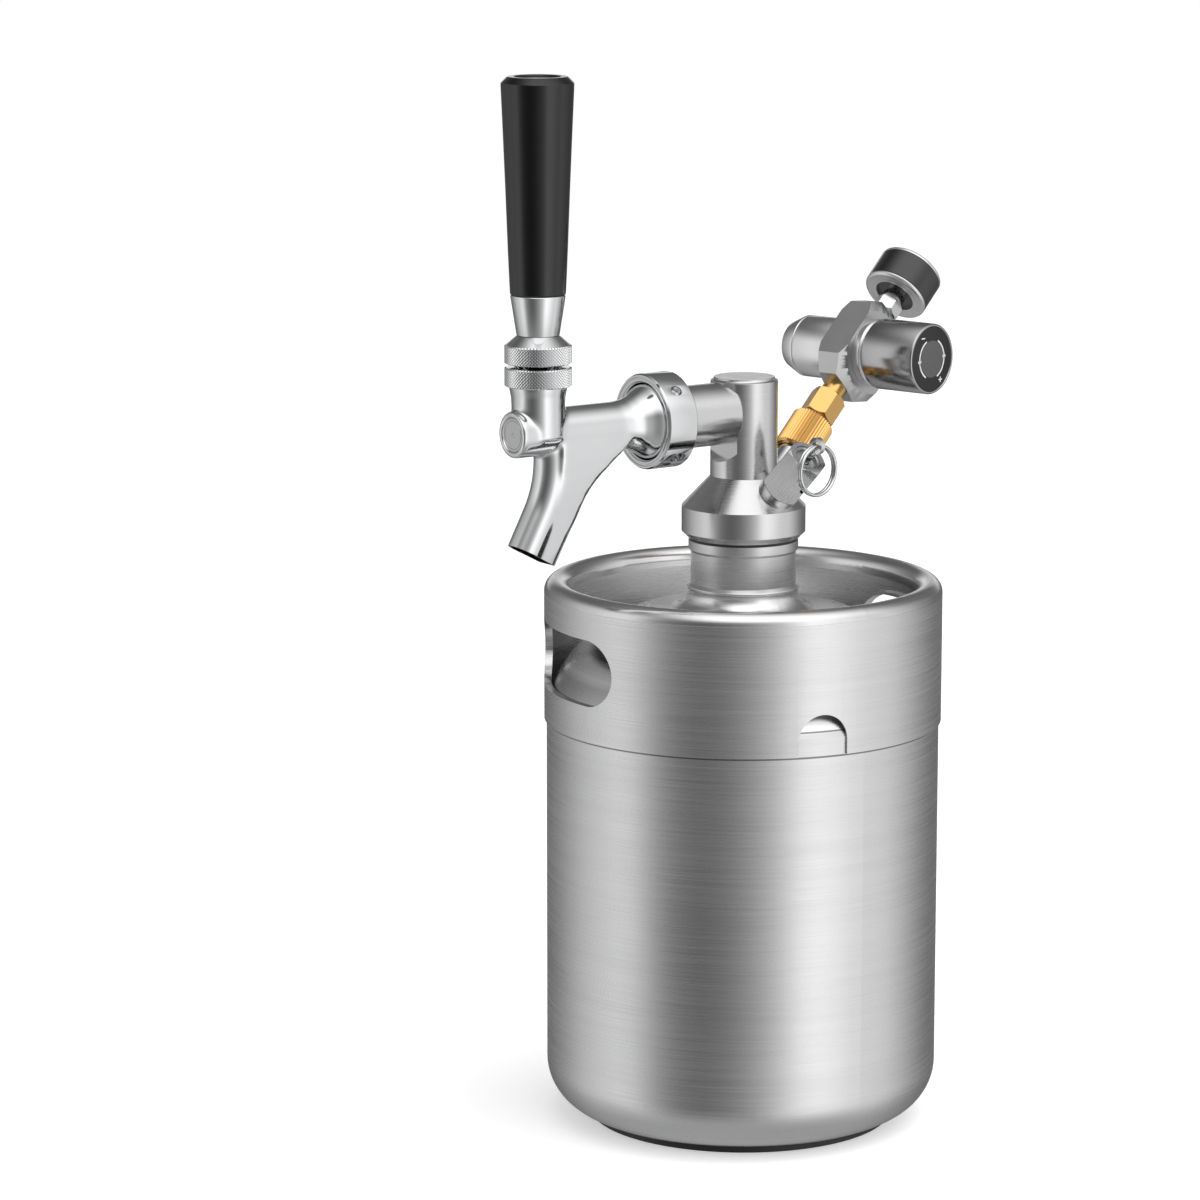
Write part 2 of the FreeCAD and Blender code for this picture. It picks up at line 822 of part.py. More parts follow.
def make_head():
    chamfer = S.collar_chamfer
    tube_hole = S.tube_radius + S.thread_gap
    thread_bore = neck_thread_radius + S.thread_gap
    blank = turned("cap_blank", [
        (thread_bore, collar_bottom),
        (collar_radius - chamfer, collar_bottom),
        (collar_radius, collar_bottom + chamfer),
        (collar_radius, collar_top),
        (tower_radius, tower_bottom),
        (tube_hole, tower_bottom),
        (tube_hole, cap_ceiling),
        (thread_bore, cap_ceiling),
    ])
    relief_boss = cylinder("relief_boss", S.port_boss_radius, S.relief_start / 2,
                           S.relief_start, relief_place)
    gas_base = cylinder("gas_base", S.gas_boss_radius, S.gas_face / 2, S.gas_face,
                        gas_place)
    inside = cylinder("cap_inside", thread_bore, collar_bottom, cap_ceiling)
    passage = cylinder("cap_passage", tube_hole, cap_ceiling, tower_bottom)
    solid = fuse("cap_solid", [blank, relief_boss, gas_base])
    relief_port = cylinder("relief_port", S.port_spigot_radius,
                           S.relief_start - S.relief_spigot, S.relief_start * 2,
                           relief_place)
    relief_hole = cylinder("relief_hole", S.port_bore_radius, S.relief_start / 4,
                           S.relief_start, relief_place)
    gas_port = cylinder("gas_port", S.port_spigot_radius, S.gas_face - S.gas_spigot,
                        S.gas_face * 2, gas_place)
    gas_hole = cylinder("gas_hole", S.port_bore_radius, S.gas_face / 4, S.gas_face,
                        gas_place)
    above = cylinder("cap_above", tower_radius, tower_bottom, tower_top)
    holes = fuse("cap_holes", [inside, passage, above, relief_port, relief_hole,
                               gas_port, gas_hole])
    keep(cut("head_cap", solid, holes))
    keep(turned("neck_gasket", tube_outline(
        neck_flange_radius - S.thread_gap, thread_bore,
        collar_bottom - S.gasket_height, collar_bottom)))
    tower = turned("tower_blank", [
        (0, faucet_height + S.passage_radius * 2),
        (0, tower_top),
        (tower_radius - S.tower_edge, tower_top),
        (tower_radius, tower_top - S.tower_edge, S.tower_edge),
        (tower_radius, tower_bottom),
        (tube_hole, tower_bottom),
        (tube_hole, faucet_height + S.passage_radius * 2),
    ])
    shank_hole = cylinder("shank_hole", S.shank_spigot_radius, S.shank_start,
                          tower_radius, faucet_place)
    seat_cut = cylinder("seat_cut", S.shank_radius, S.shank_seat, tower_radius * 2,
                        faucet_place)
    seat_place = Placement(
        Vector(0, 0, float(faucet_height - S.shank_foot_drop)), Rotation(AXIS_X, 90)
    )
    seat_foot = cylinder("seat_foot", S.shank_foot_radius, S.shank_seat,
                         tower_radius * 2, seat_place)
    cross_hole = cylinder("cross_hole", S.passage_radius, 0, S.shank_start,
                          faucet_place)
    holes = fuse("tower_holes", [shank_hole, seat_cut, seat_foot, cross_hole])
    keep(cut("riser_tower", tower, holes))
    keep(turned("dip_tube", tube_outline(
        S.tube_radius, S.tube_radius - S.tube_wall, S.tube_bottom, tower_bottom)))
    keep(turned("dip_tube_seal", tube_outline(
        S.tube_radius + S.tube_seal_width, S.tube_radius,
        cap_ceiling - S.tube_seal_height, cap_ceiling)))


# ---------------------------------------------------------------- faucet


def make_shank():
    flange_start = S.shank_end - S.shank_flange_length
    counterbore = S.shank_end - S.shank_counterbore_depth
    keep(turned("shank_tube", [
        (S.passage_radius, S.shank_start),
        (S.shank_spigot_radius, S.shank_start),
        (S.shank_spigot_radius, S.shank_seat),
        (S.shank_radius, S.shank_seat),
        (S.shank_radius, flange_start),
        (shank_flange_radius, flange_start),
        (shank_flange_radius, S.shank_end),
        (S.shank_counterbore, S.shank_end),
        (S.shank_counterbore, counterbore),
        (S.passage_radius, counterbore),
    ], faucet_place))
    keep(turned("shank_washer", tube_outline(
        shank_flange_radius - S.ring_gap, S.shank_counterbore, S.shank_end,
        body_start), faucet_place))


def make_coupling_ring():
    ring_end = ring_start + S.ring_length
    lip_end = ring_start + S.ring_lip
    chamfer = S.ring_chamfer
    thread = shank_flange_radius + S.ring_gap
    blank = turned("ring_blank", [
        (S.shank_radius + S.ring_gap, ring_start),
        (ring_radius - chamfer, ring_start),
        (ring_radius, ring_start + chamfer),
        (ring_radius, ring_end - chamfer),
        (ring_radius - chamfer, ring_end),
        (thread + chamfer, ring_end),
        (thread, ring_end - chamfer),
        (thread, lip_end),
        (S.shank_radius + S.ring_gap, lip_end),
    ])
    holes = []
    middle = ring_start + S.ring_length / 2
    for index in range(SPANNER_HOLES):
        turn = Rotation(Vector(0, 0, 1), 360.0 * (index + 0.5) / SPANNER_HOLES)
        turn = turn.multiply(Rotation(Vector(0, 1, 0), 90))
        place = Placement(Vector(0, 0, float(middle)), turn)
        holes.append(cylinder(f"spanner_hole{index}", S.spanner_hole_radius,
                              ring_radius - S.spanner_hole_depth, ring_radius * 2,
                              place))
    keep(cut("coupling_ring", blank, fuse("spanner_holes", holes), faucet_place))


def spout_path(reach_in=0.0, reach_out=0.0):
    """Centre line of the spout in the faucet frame, from barrel to mouth."""
    top = Vector(0, reach_in, float(spout_bend_station))
    bend = Vector(0, -float(S.spout_bend_drop), float(spout_bend_station))
    mouth = Vector(0, -float(spout_mouth_drop), float(spout_mouth_station))
    way = (mouth - bend).normalize()
    up = Vector(0, 1, 0)
    before = bend + up * float(S.spout_bend_length)
    after = bend + way * float(S.spout_bend_length)
    half = (up + way).normalize()
    centre = bend + half * (float(S.spout_bend_length) / up.dot(half))
    crown = centre - half * (before - centre).Length
    edges = [
        Part.makeLine(top, before),
        Part.Arc(before, crown, after).toShape(),
        Part.makeLine(after, mouth + way * reach_out),
    ]
    return Part.Wire(edges), top


def spout_solid(name, radius, reach_in, reach_out):
    """Round bar along the spout's centre line."""
    path, top = spout_path(reach_in, reach_out)
    section = Part.Wire([Part.makeCircle(as_number(radius), top, Vector(0, 1, 0))])
    bar = doc.addObject("Part::Feature", name)
    bar.Shape = path.makePipeShell([section], True, True)
    return bar


def make_faucet_body():
    thread_end = body_start + S.bell_thread_length
    bell_end = thread_end + S.bell_length
    plug_seat = barrel_end - S.plug_length
    barrel = turned("barrel_blank", [
        (0, body_start),
        (shank_flange_radius, body_start),
        (shank_flange_radius, thread_end),
        (barrel_radius, bell_end, -S.bell_curve),
        (barrel_radius, barrel_end - S.barrel_edge),
        (barrel_radius - S.barrel_edge, barrel_end),
        (0, barrel_end),
    ])
    upright = Placement(Vector(0, 0, float(lever_station)), Rotation(AXIS_X, -90))
    collar_top_rise = bonnet_bottom + S.bonnet_thread_depth - S.ball_gap
    collar = turned("lever_collar", [
        (0, 0),
        (S.lever_collar_radius, 0),
        (S.lever_collar_radius, bonnet_bottom - 2 * S.nut_rim),
        (lever_collar_lip, bonnet_bottom - S.nut_rim),
        (lever_collar_lip, bonnet_bottom),
        (S.lever_collar_radius, bonnet_bottom),
        (S.lever_collar_radius, collar_top_rise),
        (0, collar_top_rise),
    ], upright)
    spout = spout_solid("spout_bar", S.spout_radius, -float(S.barrel_bore), 0.0)
    mouth_way = Vector(
        0,
        -float(spout_mouth_drop - S.spout_bend_drop),
        float(spout_mouth_station - spout_bend_station),
    ).normalize()
    across = Vector(0, -mouth_way.z, mouth_way.y)
    mouth = Vector(0, -float(spout_mouth_drop), float(spout_mouth_station))
    tail = mouth + across * float(S.web_tail)
    web_root = spout_bend_station - S.web_root_back
    web = padded("web_blank", [
        (-spout_mouth_drop, spout_mouth_station),
        (tail.y, tail.z),
        (-S.web_waist_drop, spout_bend_station - S.web_waist_back),
        (S.barrel_edge / 2 - barrel_radius, web_root, -S.web_root_curve),
        (0, web_root),
        (0, spout_bend_station),
        (-S.spout_bend_drop, spout_bend_station),
    ], S.web_thickness)
    solid = fuse("faucet_solid", [barrel, collar, spout, web])
    bore = cylinder("barrel_hole", S.barrel_bore, body_start, barrel_end)
    plug_hole = cylinder("plug_hole", plug_radius, plug_seat, barrel_end)
    spout_hole = spout_solid("spout_hole", spout_bore, 0.0, float(S.spout_radius))
    lever_hole = cylinder("lever_hole", bonnet_throat, 0, S.pivot_rise * 2, upright)
    seat_hole = cylinder("ball_hole", S.ball_radius + S.nut_rim,
                         S.pivot_rise - S.ball_washer_drop, S.pivot_rise * 2, upright)
    holes = fuse("faucet_holes", [bore, plug_hole, spout_hole, lever_hole, seat_hole])
    keep(cut("faucet_body", solid, holes, faucet_place))
    keep(turned("faucet_plug", [
        (0, plug_seat),
        (plug_radius, plug_seat),
        (plug_radius, barrel_end - S.plug_recess),
        (0, barrel_end - S.plug_recess),
    ], faucet_place))


def make_valve():
    seat_front = body_start - S.ball_gap / 3
    seat_back = seat_front - S.seat_length
    head_back = seat_back - S.shaft_head_length
    guide = S.barrel_bore - S.shaft_gap
    guide_start = lever_station - S.shaft_guide_length / 2
    guide_end = lever_station + S.shaft_guide_length / 2
    blank = turned("shaft_blank", [
        (0, head_back),
        (S.shaft_head_radius, head_back),
        (S.shaft_head_radius, seat_back),
        (S.shaft_radius, seat_back),
        (S.shaft_radius, lever_station),
        (0, lever_station),
    ])
    guide_rod = cylinder("shaft_guide_rod", guide, guide_start, guide_end)
    guide_flats = box("shaft_guide_flats", S.shaft_guide_width, guide * 3,
                      S.shaft_guide_length, 0, 0, guide_start)
    solid = fuse("shaft_solid", [blank, common("shaft_guide", [guide_rod, guide_flats])])
    pocket = (S.finger_radius + S.finger_gap) * 2
    slot = box("finger_slot", pocket, guide * 2, pocket,
               0, guide - pocket / 2, lever_station - pocket / 2)
    relief = box("finger_relief_cut", pocket, guide * 2, S.finger_relief,
                 0, guide + pocket / 2, lever_station - S.finger_relief / 2)
    keep(cut("valve_shaft", solid, fuse("shaft_cuts", [slot, relief]), faucet_place))
    keep(turned("shaft_seat", tube_outline(
        S.seat_radius, S.shaft_radius, seat_back, seat_front), faucet_place))


def make_lever():
    ball = S.ball_radius
    washer_floor = S.pivot_rise - S.ball_washer_drop
    washer_top = washer_floor + S.ball_washer_height
    washer_outer = ball + S.nut_rim
    keep(turned("ball_washer", [
        (bonnet_throat, washer_floor),
        (washer_outer, washer_floor),
        (washer_outer, washer_top),
        (ball - S.ball_gap / 2, washer_top),
        (bonnet_throat, washer_floor + S.ball_washer_lip),
    ], lever_place))
    roof = bonnet_bottom + S.bonnet_thread_depth
    keep(turned("friction_washer", tube_outline(
        washer_outer, bonnet_throat, S.pivot_rise + S.friction_washer_rise, roof),
        lever_place))
    top = bonnet_bottom + S.bonnet_height
    keep(turned("lever_bonnet", [
        (S.lever_collar_radius, bonnet_bottom),
        (S.knurl_radius, bonnet_bottom),
        (S.knurl_radius, top - S.nut_rim),
        (S.knurl_radius - S.nut_rim, top),
        (S.bonnet_opening, top),
        (bonnet_throat, roof),
        (S.lever_collar_radius, roof),
    ], lever_place))
    nut_bottom = top + S.nut_gap
    nut_top = nut_bottom + S.nut_height
    ferrule_bottom = nut_top + S.nut_cone_height
    ferrule_top = ferrule_bottom + S.ferrule_height
    grip_top = ferrule_top + S.grip_height
    below = S.pivot_rise - root(ball * ball - S.finger_stem * S.finger_stem)
    above = S.pivot_rise + root(ball * ball - S.stem_radius * S.stem_radius)
    tip = S.finger_radius
    tip_top = root(tip * tip - S.finger_stem * S.finger_stem)
    keep(turned("lever", [
        (0, -tip),
        (tip, 0, tip),
        (S.finger_stem, tip_top, tip),
        (S.finger_stem, below),
        (ball, S.pivot_rise, ball),
        (S.stem_radius, above, ball),
        (S.stem_radius, ferrule_bottom),
        (S.stud_radius, ferrule_bottom),
        (S.stud_radius, ferrule_top + S.stud_depth),
        (0, ferrule_top + S.stud_depth),
    ], lever_place))
    rim = S.knurl_radius - S.nut_rim
    keep(turned("lever_nut", [
        (S.stem_radius, nut_bottom + S.nut_recess),
        (rim, nut_bottom + S.nut_recess),
        (rim, nut_bottom),
        (S.knurl_radius, nut_bottom),
        (S.knurl_radius, nut_top),
        (S.ferrule_bottom_radius, ferrule_bottom),
        (S.stem_radius, ferrule_bottom),
    ], lever_place))
    keep(turned("handle_ferrule", [
        (S.stud_radius, ferrule_bottom),
        (S.ferrule_bottom_radius, ferrule_bottom),
        (S.ferrule_top_radius, ferrule_top),
        (S.stud_radius, ferrule_top),
    ], lever_place))
    edge = S.grip_edge
    keep(turned("handle_grip", [
        (S.stud_radius, ferrule_top),
        (S.ferrule_top_radius, ferrule_top),
        (S.grip_top_radius, grip_top - edge),
        (S.grip_top_radius - edge, grip_top, edge),
        (S.grip_top_radius - edge * 2, grip_top),
        (S.grip_top_radius - edge * 2 - S.grip_dimple, grip_top - S.grip_dimple),
        (0, grip_top - S.grip_dimple),
        (0, ferrule_top + S.stud_depth),
        (S.stud_radius, ferrule_top + S.stud_depth),
    ], lever_place))


# ---------------------------------------------------------------- relief valve


def make_relief():
    top = S.relief_start + S.relief_length
    floor = S.relief_start + S.relief_floor
    cap_bottom = top - S.relief_cap_length
    hex_blank = hexagon("relief_hex_bar", S.relief_hex, S.relief_start, top)
    corner = S.relief_hex * HEX_CORNER
    flat = S.relief_hex / 2
    rounded = turned("relief_rounding", [
        (0, S.relief_start),
        (flat, S.relief_start),
        (corner, S.relief_start + S.hex_chamfer),
        (corner, top - S.hex_chamfer),
        (flat, top),
        (0, top),
    ])
    head = common("relief_head", [hex_blank, rounded])
    spigot = cylinder("relief_spigot_bar", S.port_spigot_radius,
                      S.relief_start - S.relief_spigot, S.relief_start + S.hex_chamfer)
    solid = fuse("relief_solid", [head, spigot])
    inlet = cylinder("relief_inlet", S.port_bore_radius, S.relief_start / 2, floor)
    chamber = cylinder("relief_chamber_hole", S.relief_chamber, floor, cap_bottom)
    mouth = cylinder("relief_mouth", S.relief_cap_radius, cap_bottom, top)
    vent = cylinder("relief_vent", S.port_bore_radius, -S.relief_hex, S.relief_hex,
                    Placement(Vector(0, 0, float(floor + S.relief_chamber)),
                              Rotation(Vector(0, 1, 0), 90)))
    keep(cut("relief_body", solid, fuse("relief_holes", [inlet, chamber, mouth, vent]),
             relief_place))
    keep(turned("relief_cap", tube_outline(
        S.relief_cap_radius, S.pin_radius + S.pin_gap, cap_bottom, top - S.relief_cap_recess),
        relief_place))
    seat_top = floor + S.pin_gap / 3 + S.relief_seat_length
    keep(turned("relief_seat", [
        (0, floor + S.pin_gap / 3),
        (S.relief_seat_radius, floor + S.pin_gap / 3),
        (S.relief_seat_radius, seat_top),
        (0, seat_top),
    ], relief_place))
    plate_top = seat_top + S.pin_plate_length
    eye_middle = top + S.pin_rise
    stem = turned("pin_blank", [
        (0, seat_top),
        (S.pin_plate_radius, seat_top),
        (S.pin_plate_radius, plate_top),
        (S.pin_radius, plate_top),
        (S.pin_radius, eye_middle - S.eye_hole),
        (0, eye_middle - S.eye_hole),
    ])
    eye_place = Placement(Vector(0, 0, float(eye_middle)), Rotation(AXIS_X, 90))
    eye = cylinder("pin_eye", S.eye_radius, -S.eye_thickness / 2, S.eye_thickness / 2,
                   eye_place)
    hole = cylinder("pin_eye_hole", S.eye_hole, -S.eye_thickness, S.eye_thickness,
                    eye_place)
    keep(cut("relief_pin", fuse("pin_solid", [stem, eye]), hole, relief_place))
    keep(coil("relief_spring", S.relief_coil, S.relief_wire, plate_top, cap_bottom,
              RELIEF_HALF_TURNS, relief_place))
    eye_centre = relief_place.multVec(Vector(0, 0, float(eye_middle)))
    make_pull_ring(eye_centre)


def make_pull_ring(eye_centre):
    """Split ring of two touching turns that hangs straight down from the eye."""
    turns = []
    across = relief_place.Rotation.multVec(Vector(0, 1, 0))
    hang = Vector(eye_centre) - Vector(0, 0, float(S.pull_ring_radius))
    axis = Vector(0, 0, 1).cross(across).normalize()
    for index, side in enumerate((-1, 1)):
        wire = doc.addObject("Part::Torus", f"pull_turn{index}")
        bind(wire, "Radius1", S.pull_ring_radius)
        bind(wire, "Radius2", S.pull_wire)
        offset = axis * (side * float(S.pull_turn_offset))
        wire.Placement = Placement(hang + offset, Rotation(Vector(0, 0, 1), axis))
        turns.append(wire)
    keep(fuse("pull_ring", turns))


# ---------------------------------------------------------------- gas side


def make_gas_inlet():
    spigot_start = S.gas_face - S.gas_spigot
    keep(turned("gas_boss", [
        (S.gas_bore, spigot_start),
        (S.port_spigot_radius, spigot_start),
        (S.port_spigot_radius, S.gas_face),
        (S.gas_boss_radius, S.gas_face),
        (S.gas_boss_radius, gas_boss_end),
        (S.gas_thread_radius, gas_boss_end),
        (S.gas_thread_radius, gas_thread_end),
        (S.gas_bore, gas_thread_end),
    ], gas_place))
    washer_top = gas_thread_end + S.adapter_flange_length
    keep(turned("swivel_washer", tube_outline(
        S.gas_thread_radius - S.swivel_gap, S.gas_bore, gas_thread_end, washer_top),
        gas_place))
    flange_top = washer_top + S.adapter_flange_length
    thread_bore = S.gas_thread_radius + S.swivel_gap
    neck_bore = S.adapter_neck_radius + S.swivel_gap
    chamfer = S.swivel_chamfer
    keep(turned("swivel_nut", [
        (thread_bore, swivel_start),
        (S.swivel_radius - chamfer, swivel_start),
        (S.swivel_radius, swivel_start + chamfer),
        (S.swivel_radius, swivel_end - chamfer),
        (S.swivel_radius - chamfer, swivel_end),
        (neck_bore, swivel_end),
        (neck_bore, flange_top + S.swivel_gap),
        (thread_bore, flange_top + S.swivel_gap),
    ], gas_place))
    hex_start, hex_end = adapter_hex_start, adapter_hex_end
    block_face = block_station - S.block_length / 2
    spigot_end = block_face + S.adapter_spigot_length
    flange = S.gas_thread_radius
    tail = turned("adapter_tail", [
        (S.gas_bore, washer_top),
        (flange, washer_top),
        (flange, flange_top),
        (S.adapter_neck_radius, flange_top),
        (S.adapter_neck_radius, block_face),
        (S.adapter_spigot_radius, block_face),
        (S.adapter_spigot_radius, spigot_end),
        (S.gas_bore, spigot_end),
    ])
    corner = S.adapter_hex * HEX_CORNER
    flat = S.adapter_hex / 2
    rounding = turned("adapter_rounding", [
        (S.gas_bore, hex_start),
        (flat, hex_start),
        (corner, hex_start + S.hex_chamfer),
        (corner, hex_end - S.hex_chamfer),
        (flat, hex_end),
        (S.gas_bore, hex_end),
    ])
    bar = hexagon("adapter_hex_bar", S.adapter_hex, hex_start, hex_end)
    head = common("adapter_head", [bar, rounding])
    keep(fuse("outlet_adapter", [tail, head], gas_place))


def make_block():
    half_length = S.block_length / 2
    half_width = S.block_width / 2
    corner = S.block_corner
    half = S.block_thickness / 2
    plate = padded("block_plate", [
        (half_width, half_length - corner),
        (half_width - corner, half_length),
        (corner - half_width, half_length),
        (-half_width, half_length - corner),
        (-half_width, corner - half_length),
        (corner - half_width, -half_length),
        (half_width - corner, -half_length),
        (half_width, corner - half_length),
    ], S.block_thickness, "XY_Plane")
    start = S.block_turned_start
    wide = S.block_length
    bevel_end = (wide - start) * BEVEL_SLOPE - half
    rounding = turned("block_rounding", [
        (0, -half),
        (start, -half),
        (wide, bevel_end),
        (wide, wide),
        (0, wide),
    ])
    rounding_front = turned("block_rounding_front", [
        (0, half),
        (start, half),
        (wide, -bevel_end),
        (wide, -wide),
        (0, -wide),
    ])
    solid = common("block_solid", [plate, rounding, rounding_front])
    chamber = cylinder("block_chamber", bonnet_tube_bore, half - S.chamber_depth, half)
    pin_bore = cylinder("block_pin_bore", S.pierce_radius * 2, -half,
                        half - S.chamber_depth)
    socket_bore = cylinder("block_socket_bore", S.socket_spigot_radius, -half,
                           S.socket_spigot_length - half)
    lower_port = cylinder("block_lower_port", S.adapter_spigot_radius,
                          half_length - S.adapter_spigot_length, half_length,
                          Placement(Vector(0, 0, 0), Rotation(AXIS_X, 90)))
    upper_port = cylinder("block_upper_port", S.gauge_plug_radius,
                          half_length - S.gauge_plug_length, half_length,
                          Placement(Vector(0, 0, 0), Rotation(AXIS_X, -90)))
    channel = cylinder("block_channel", S.pierce_radius, -half_length, half_length,
                       Placement(Vector(0, 0, 0), Rotation(AXIS_X, 90)))
    holes = fuse("block_holes", [chamber, pin_bore, socket_bore, lower_port, upper_port,
                                 channel])
    keep(cut("regulator_block", solid, holes, block_place))


def make_socket():
    half = S.block_thickness / 2
    inner_end = S.socket_spigot_length - half
    face = -half
    outer_end = face - S.socket_length
    taper = outer_end + S.socket_taper_length
    thread_end = outer_end + S.cartridge_thread_length
    seal_start = thread_end + S.cartridge_seal_gap
    seal_end = seal_start + S.cartridge_seal_length
    keep(turned("cartridge_socket", [
        (S.cartridge_thread_radius, outer_end),
        (S.socket_taper_radius, outer_end),
        (S.socket_radius, taper),
        (S.socket_radius, face),
        (S.socket_spigot_radius, face),
        (S.socket_spigot_radius, inner_end),
        (S.cartridge_chamber_radius, inner_end),
        (S.cartridge_chamber_radius, thread_end),
        (S.cartridge_thread_radius, thread_end),
    ], block_place))
    keep(turned("cartridge_seal", tube_outline(
        S.cartridge_chamber_radius, S.pierce_radius + S.pin_gap, seal_start, seal_end),
        block_place))
    plate_start = inner_end - S.pierce_plate_length
    keep(turned("piercing_pin", [
        (0, seal_start),
        (S.pierce_radius, seal_end),
        (S.pierce_radius, plate_start),
        (S.cartridge_chamber_radius, plate_start),
        (S.cartridge_chamber_radius, inner_end),
        (0, inner_end),
    ], block_place))


def make_bonnet():
    face = block_front
    disc_end = face + S.collar_disc_length
    tube_end = disc_end + S.bonnet_tube_length
    keep(turned("bonnet_collar", [
        (bonnet_tube_bore, face),
        (S.collar_disc_radius, face),
        (S.collar_disc_radius, disc_end - S.collar_disc_chamfer),
        (S.collar_disc_radius - S.collar_disc_chamfer, disc_end),
        (S.bonnet_tube_radius, disc_end),
        (S.bonnet_tube_radius, tube_end),
        (bonnet_tube_bore, tube_end),
    ], block_place))
    keep(turned("diaphragm", [
        (0, face - S.chamber_depth / 2),
        (bonnet_tube_bore, face - S.chamber_depth / 2),
        (bonnet_tube_bore, diaphragm_top),
        (0, diaphragm_top),
    ], block_place))
    plate_top = spring_plate_top
    keep(turned("spring_plate", [
        (0, diaphragm_top),
        (S.diaphragm_plate_radius, diaphragm_top),
        (S.diaphragm_plate_radius + S.collar_disc_chamfer, plate_top),
        (0, plate_top),
    ], block_place))
    keep(coil("main_spring", S.main_coil, S.main_wire, plate_top, screw_station,
              MAIN_HALF_TURNS, block_place))
    disc_top = screw_station + S.screw_disc_length
    keep(turned("adjust_screw", [
        (0, screw_station),
        (S.screw_disc_radius, screw_station),
        (S.screw_disc_radius, disc_top),
        (S.screw_radius, disc_top),
        (S.screw_radius, screw_top),
        (0, screw_top),
    ], block_place))


def make_knob():
    roof = knob_end - S.knob_roof
    hub_start = roof - S.knob_hub_length
    bore = S.bonnet_tube_radius + S.knob_gap
    hub_bore = S.screw_radius + S.screw_gap
    edge = S.knob_edge
    keep(turned("adjust_knob", [
        (bore, knob_start),
        (S.knob_radius - edge, knob_start),
        (S.knob_radius, knob_start + edge),
        (S.knob_radius, knob_end - edge),
        (S.knob_radius - edge, knob_end),
        (label_radius, knob_end),
        (label_radius, label_bottom),
        (0, label_bottom),
        (0, screw_hole_end),
        (hub_bore, screw_hole_end),
        (hub_bore, hub_start),
        (S.knob_hub_radius, hub_start),
        (S.knob_hub_radius, roof),
        (bore, roof),
    ], block_place))
    keep(turned("knob_label", [
        (0, label_bottom),
        (label_radius, label_bottom),
        (label_radius, knob_end - S.label_length / 2),
        (0, knob_end - S.label_length / 2),
    ], block_place))


# ---------------------------------------------------------------- gauge


def make_gauge():
    block_face = block_station + S.block_length / 2
    hex_start, hex_end = gauge_hex_start, gauge_hex_end
    back = gauge_station
    back_end = back + S.gauge_back_length
    case_end = back + S.gauge_length
    case_floor = back_end + S.gauge_wall
    stem_end = case_floor + S.gauge_head_length
    head_radius = S.tube_coil + S.tube_section
    plug_start = block_face - S.gauge_plug_length
    stem = turned("stem_rod", [
        (S.pierce_radius, plug_start),
        (S.gauge_plug_radius, plug_start),
        (S.gauge_plug_radius, hex_start),
        (S.gauge_stem_radius, hex_start),
        (S.gauge_stem_radius, case_floor),
        (head_radius, case_floor),
        (head_radius, stem_end),
        (S.pierce_radius, stem_end),
    ])
    corner = S.gauge_hex * HEX_CORNER
    flat = S.gauge_hex / 2
    rounding = turned("stem_rounding", [
        (S.pierce_radius, hex_start),
        (flat, hex_start),
        (corner, hex_start + S.hex_chamfer),
        (corner, hex_end - S.hex_chamfer),
        (flat, hex_end),
        (S.pierce_radius, hex_end),
    ])
    bar = hexagon("stem_hex_bar", S.gauge_hex, hex_start, hex_end)
    keep(fuse("gauge_stem", [stem, common("stem_head", [bar, rounding])], gas_place))
    outer, wall = S.gauge_radius, S.gauge_wall
    keep(turned("gauge_back_ring", [
        (S.gauge_back_hole, back),
        (outer - wall, back),
        (outer, back + wall),
        (outer, back_end),
        (S.gauge_back_hole, back_end),
    ], gas_place))
    bezel_start = case_end - S.bezel_length
    keep(turned("gauge_case", [
        (S.gauge_stem_radius, back_end),
        (outer, back_end),
        (outer, bezel_start),
        (outer - wall, bezel_start),
        (outer - wall, case_floor),
        (S.gauge_stem_radius, case_floor),
    ], gas_place))
    dial_top = bezel_start - S.lens_length - S.dial_depth + S.dial_length * 4
    dial_bottom = dial_top - S.dial_length
    keep(turned("gauge_dial", tube_outline(
        dial_radius, S.arbor_radius + S.pin_gap, dial_bottom, dial_top), gas_place))
    tube_height = stem_end + S.tube_section
    keep(make_bourdon(tube_height))
    keep(turned("gauge_movement", tube_outline(
        S.needle_hub * 2, S.arbor_radius + S.arbor_gap, stem_end, dial_bottom),
        gas_place))
    make_needle(stem_end + S.needle_rise, dial_top)
    lens_bottom = bezel_start - S.lens_length
    keep(turned("gauge_lens", [
        (0, lens_bottom),
        (outer - wall, lens_bottom),
        (outer - wall, bezel_start),
        (0, bezel_start),
    ], gas_place))
    keep(turned("gauge_bezel", [
        (outer - S.bezel_width, bezel_start),
        (outer, bezel_start),
        (outer, case_end - S.bezel_chamfer),
        (outer - S.bezel_chamfer, case_end),
        (outer - S.bezel_width, case_end),
    ], gas_place))


def make_bourdon(height):
    """Curved pressure tube that leaves the stem and bends round the case."""
    tube = doc.addObject("Part::Torus", "bourdon_tube")
    bind(tube, "Radius1", S.tube_coil)
    bind(tube, "Radius2", S.tube_section)
    bind(tube, "Angle3", S.tube_sweep)
    tube.Placement = gas_place.multiply(
        Placement(Vector(0, 0, float(height)), Rotation())
    )
    return tube


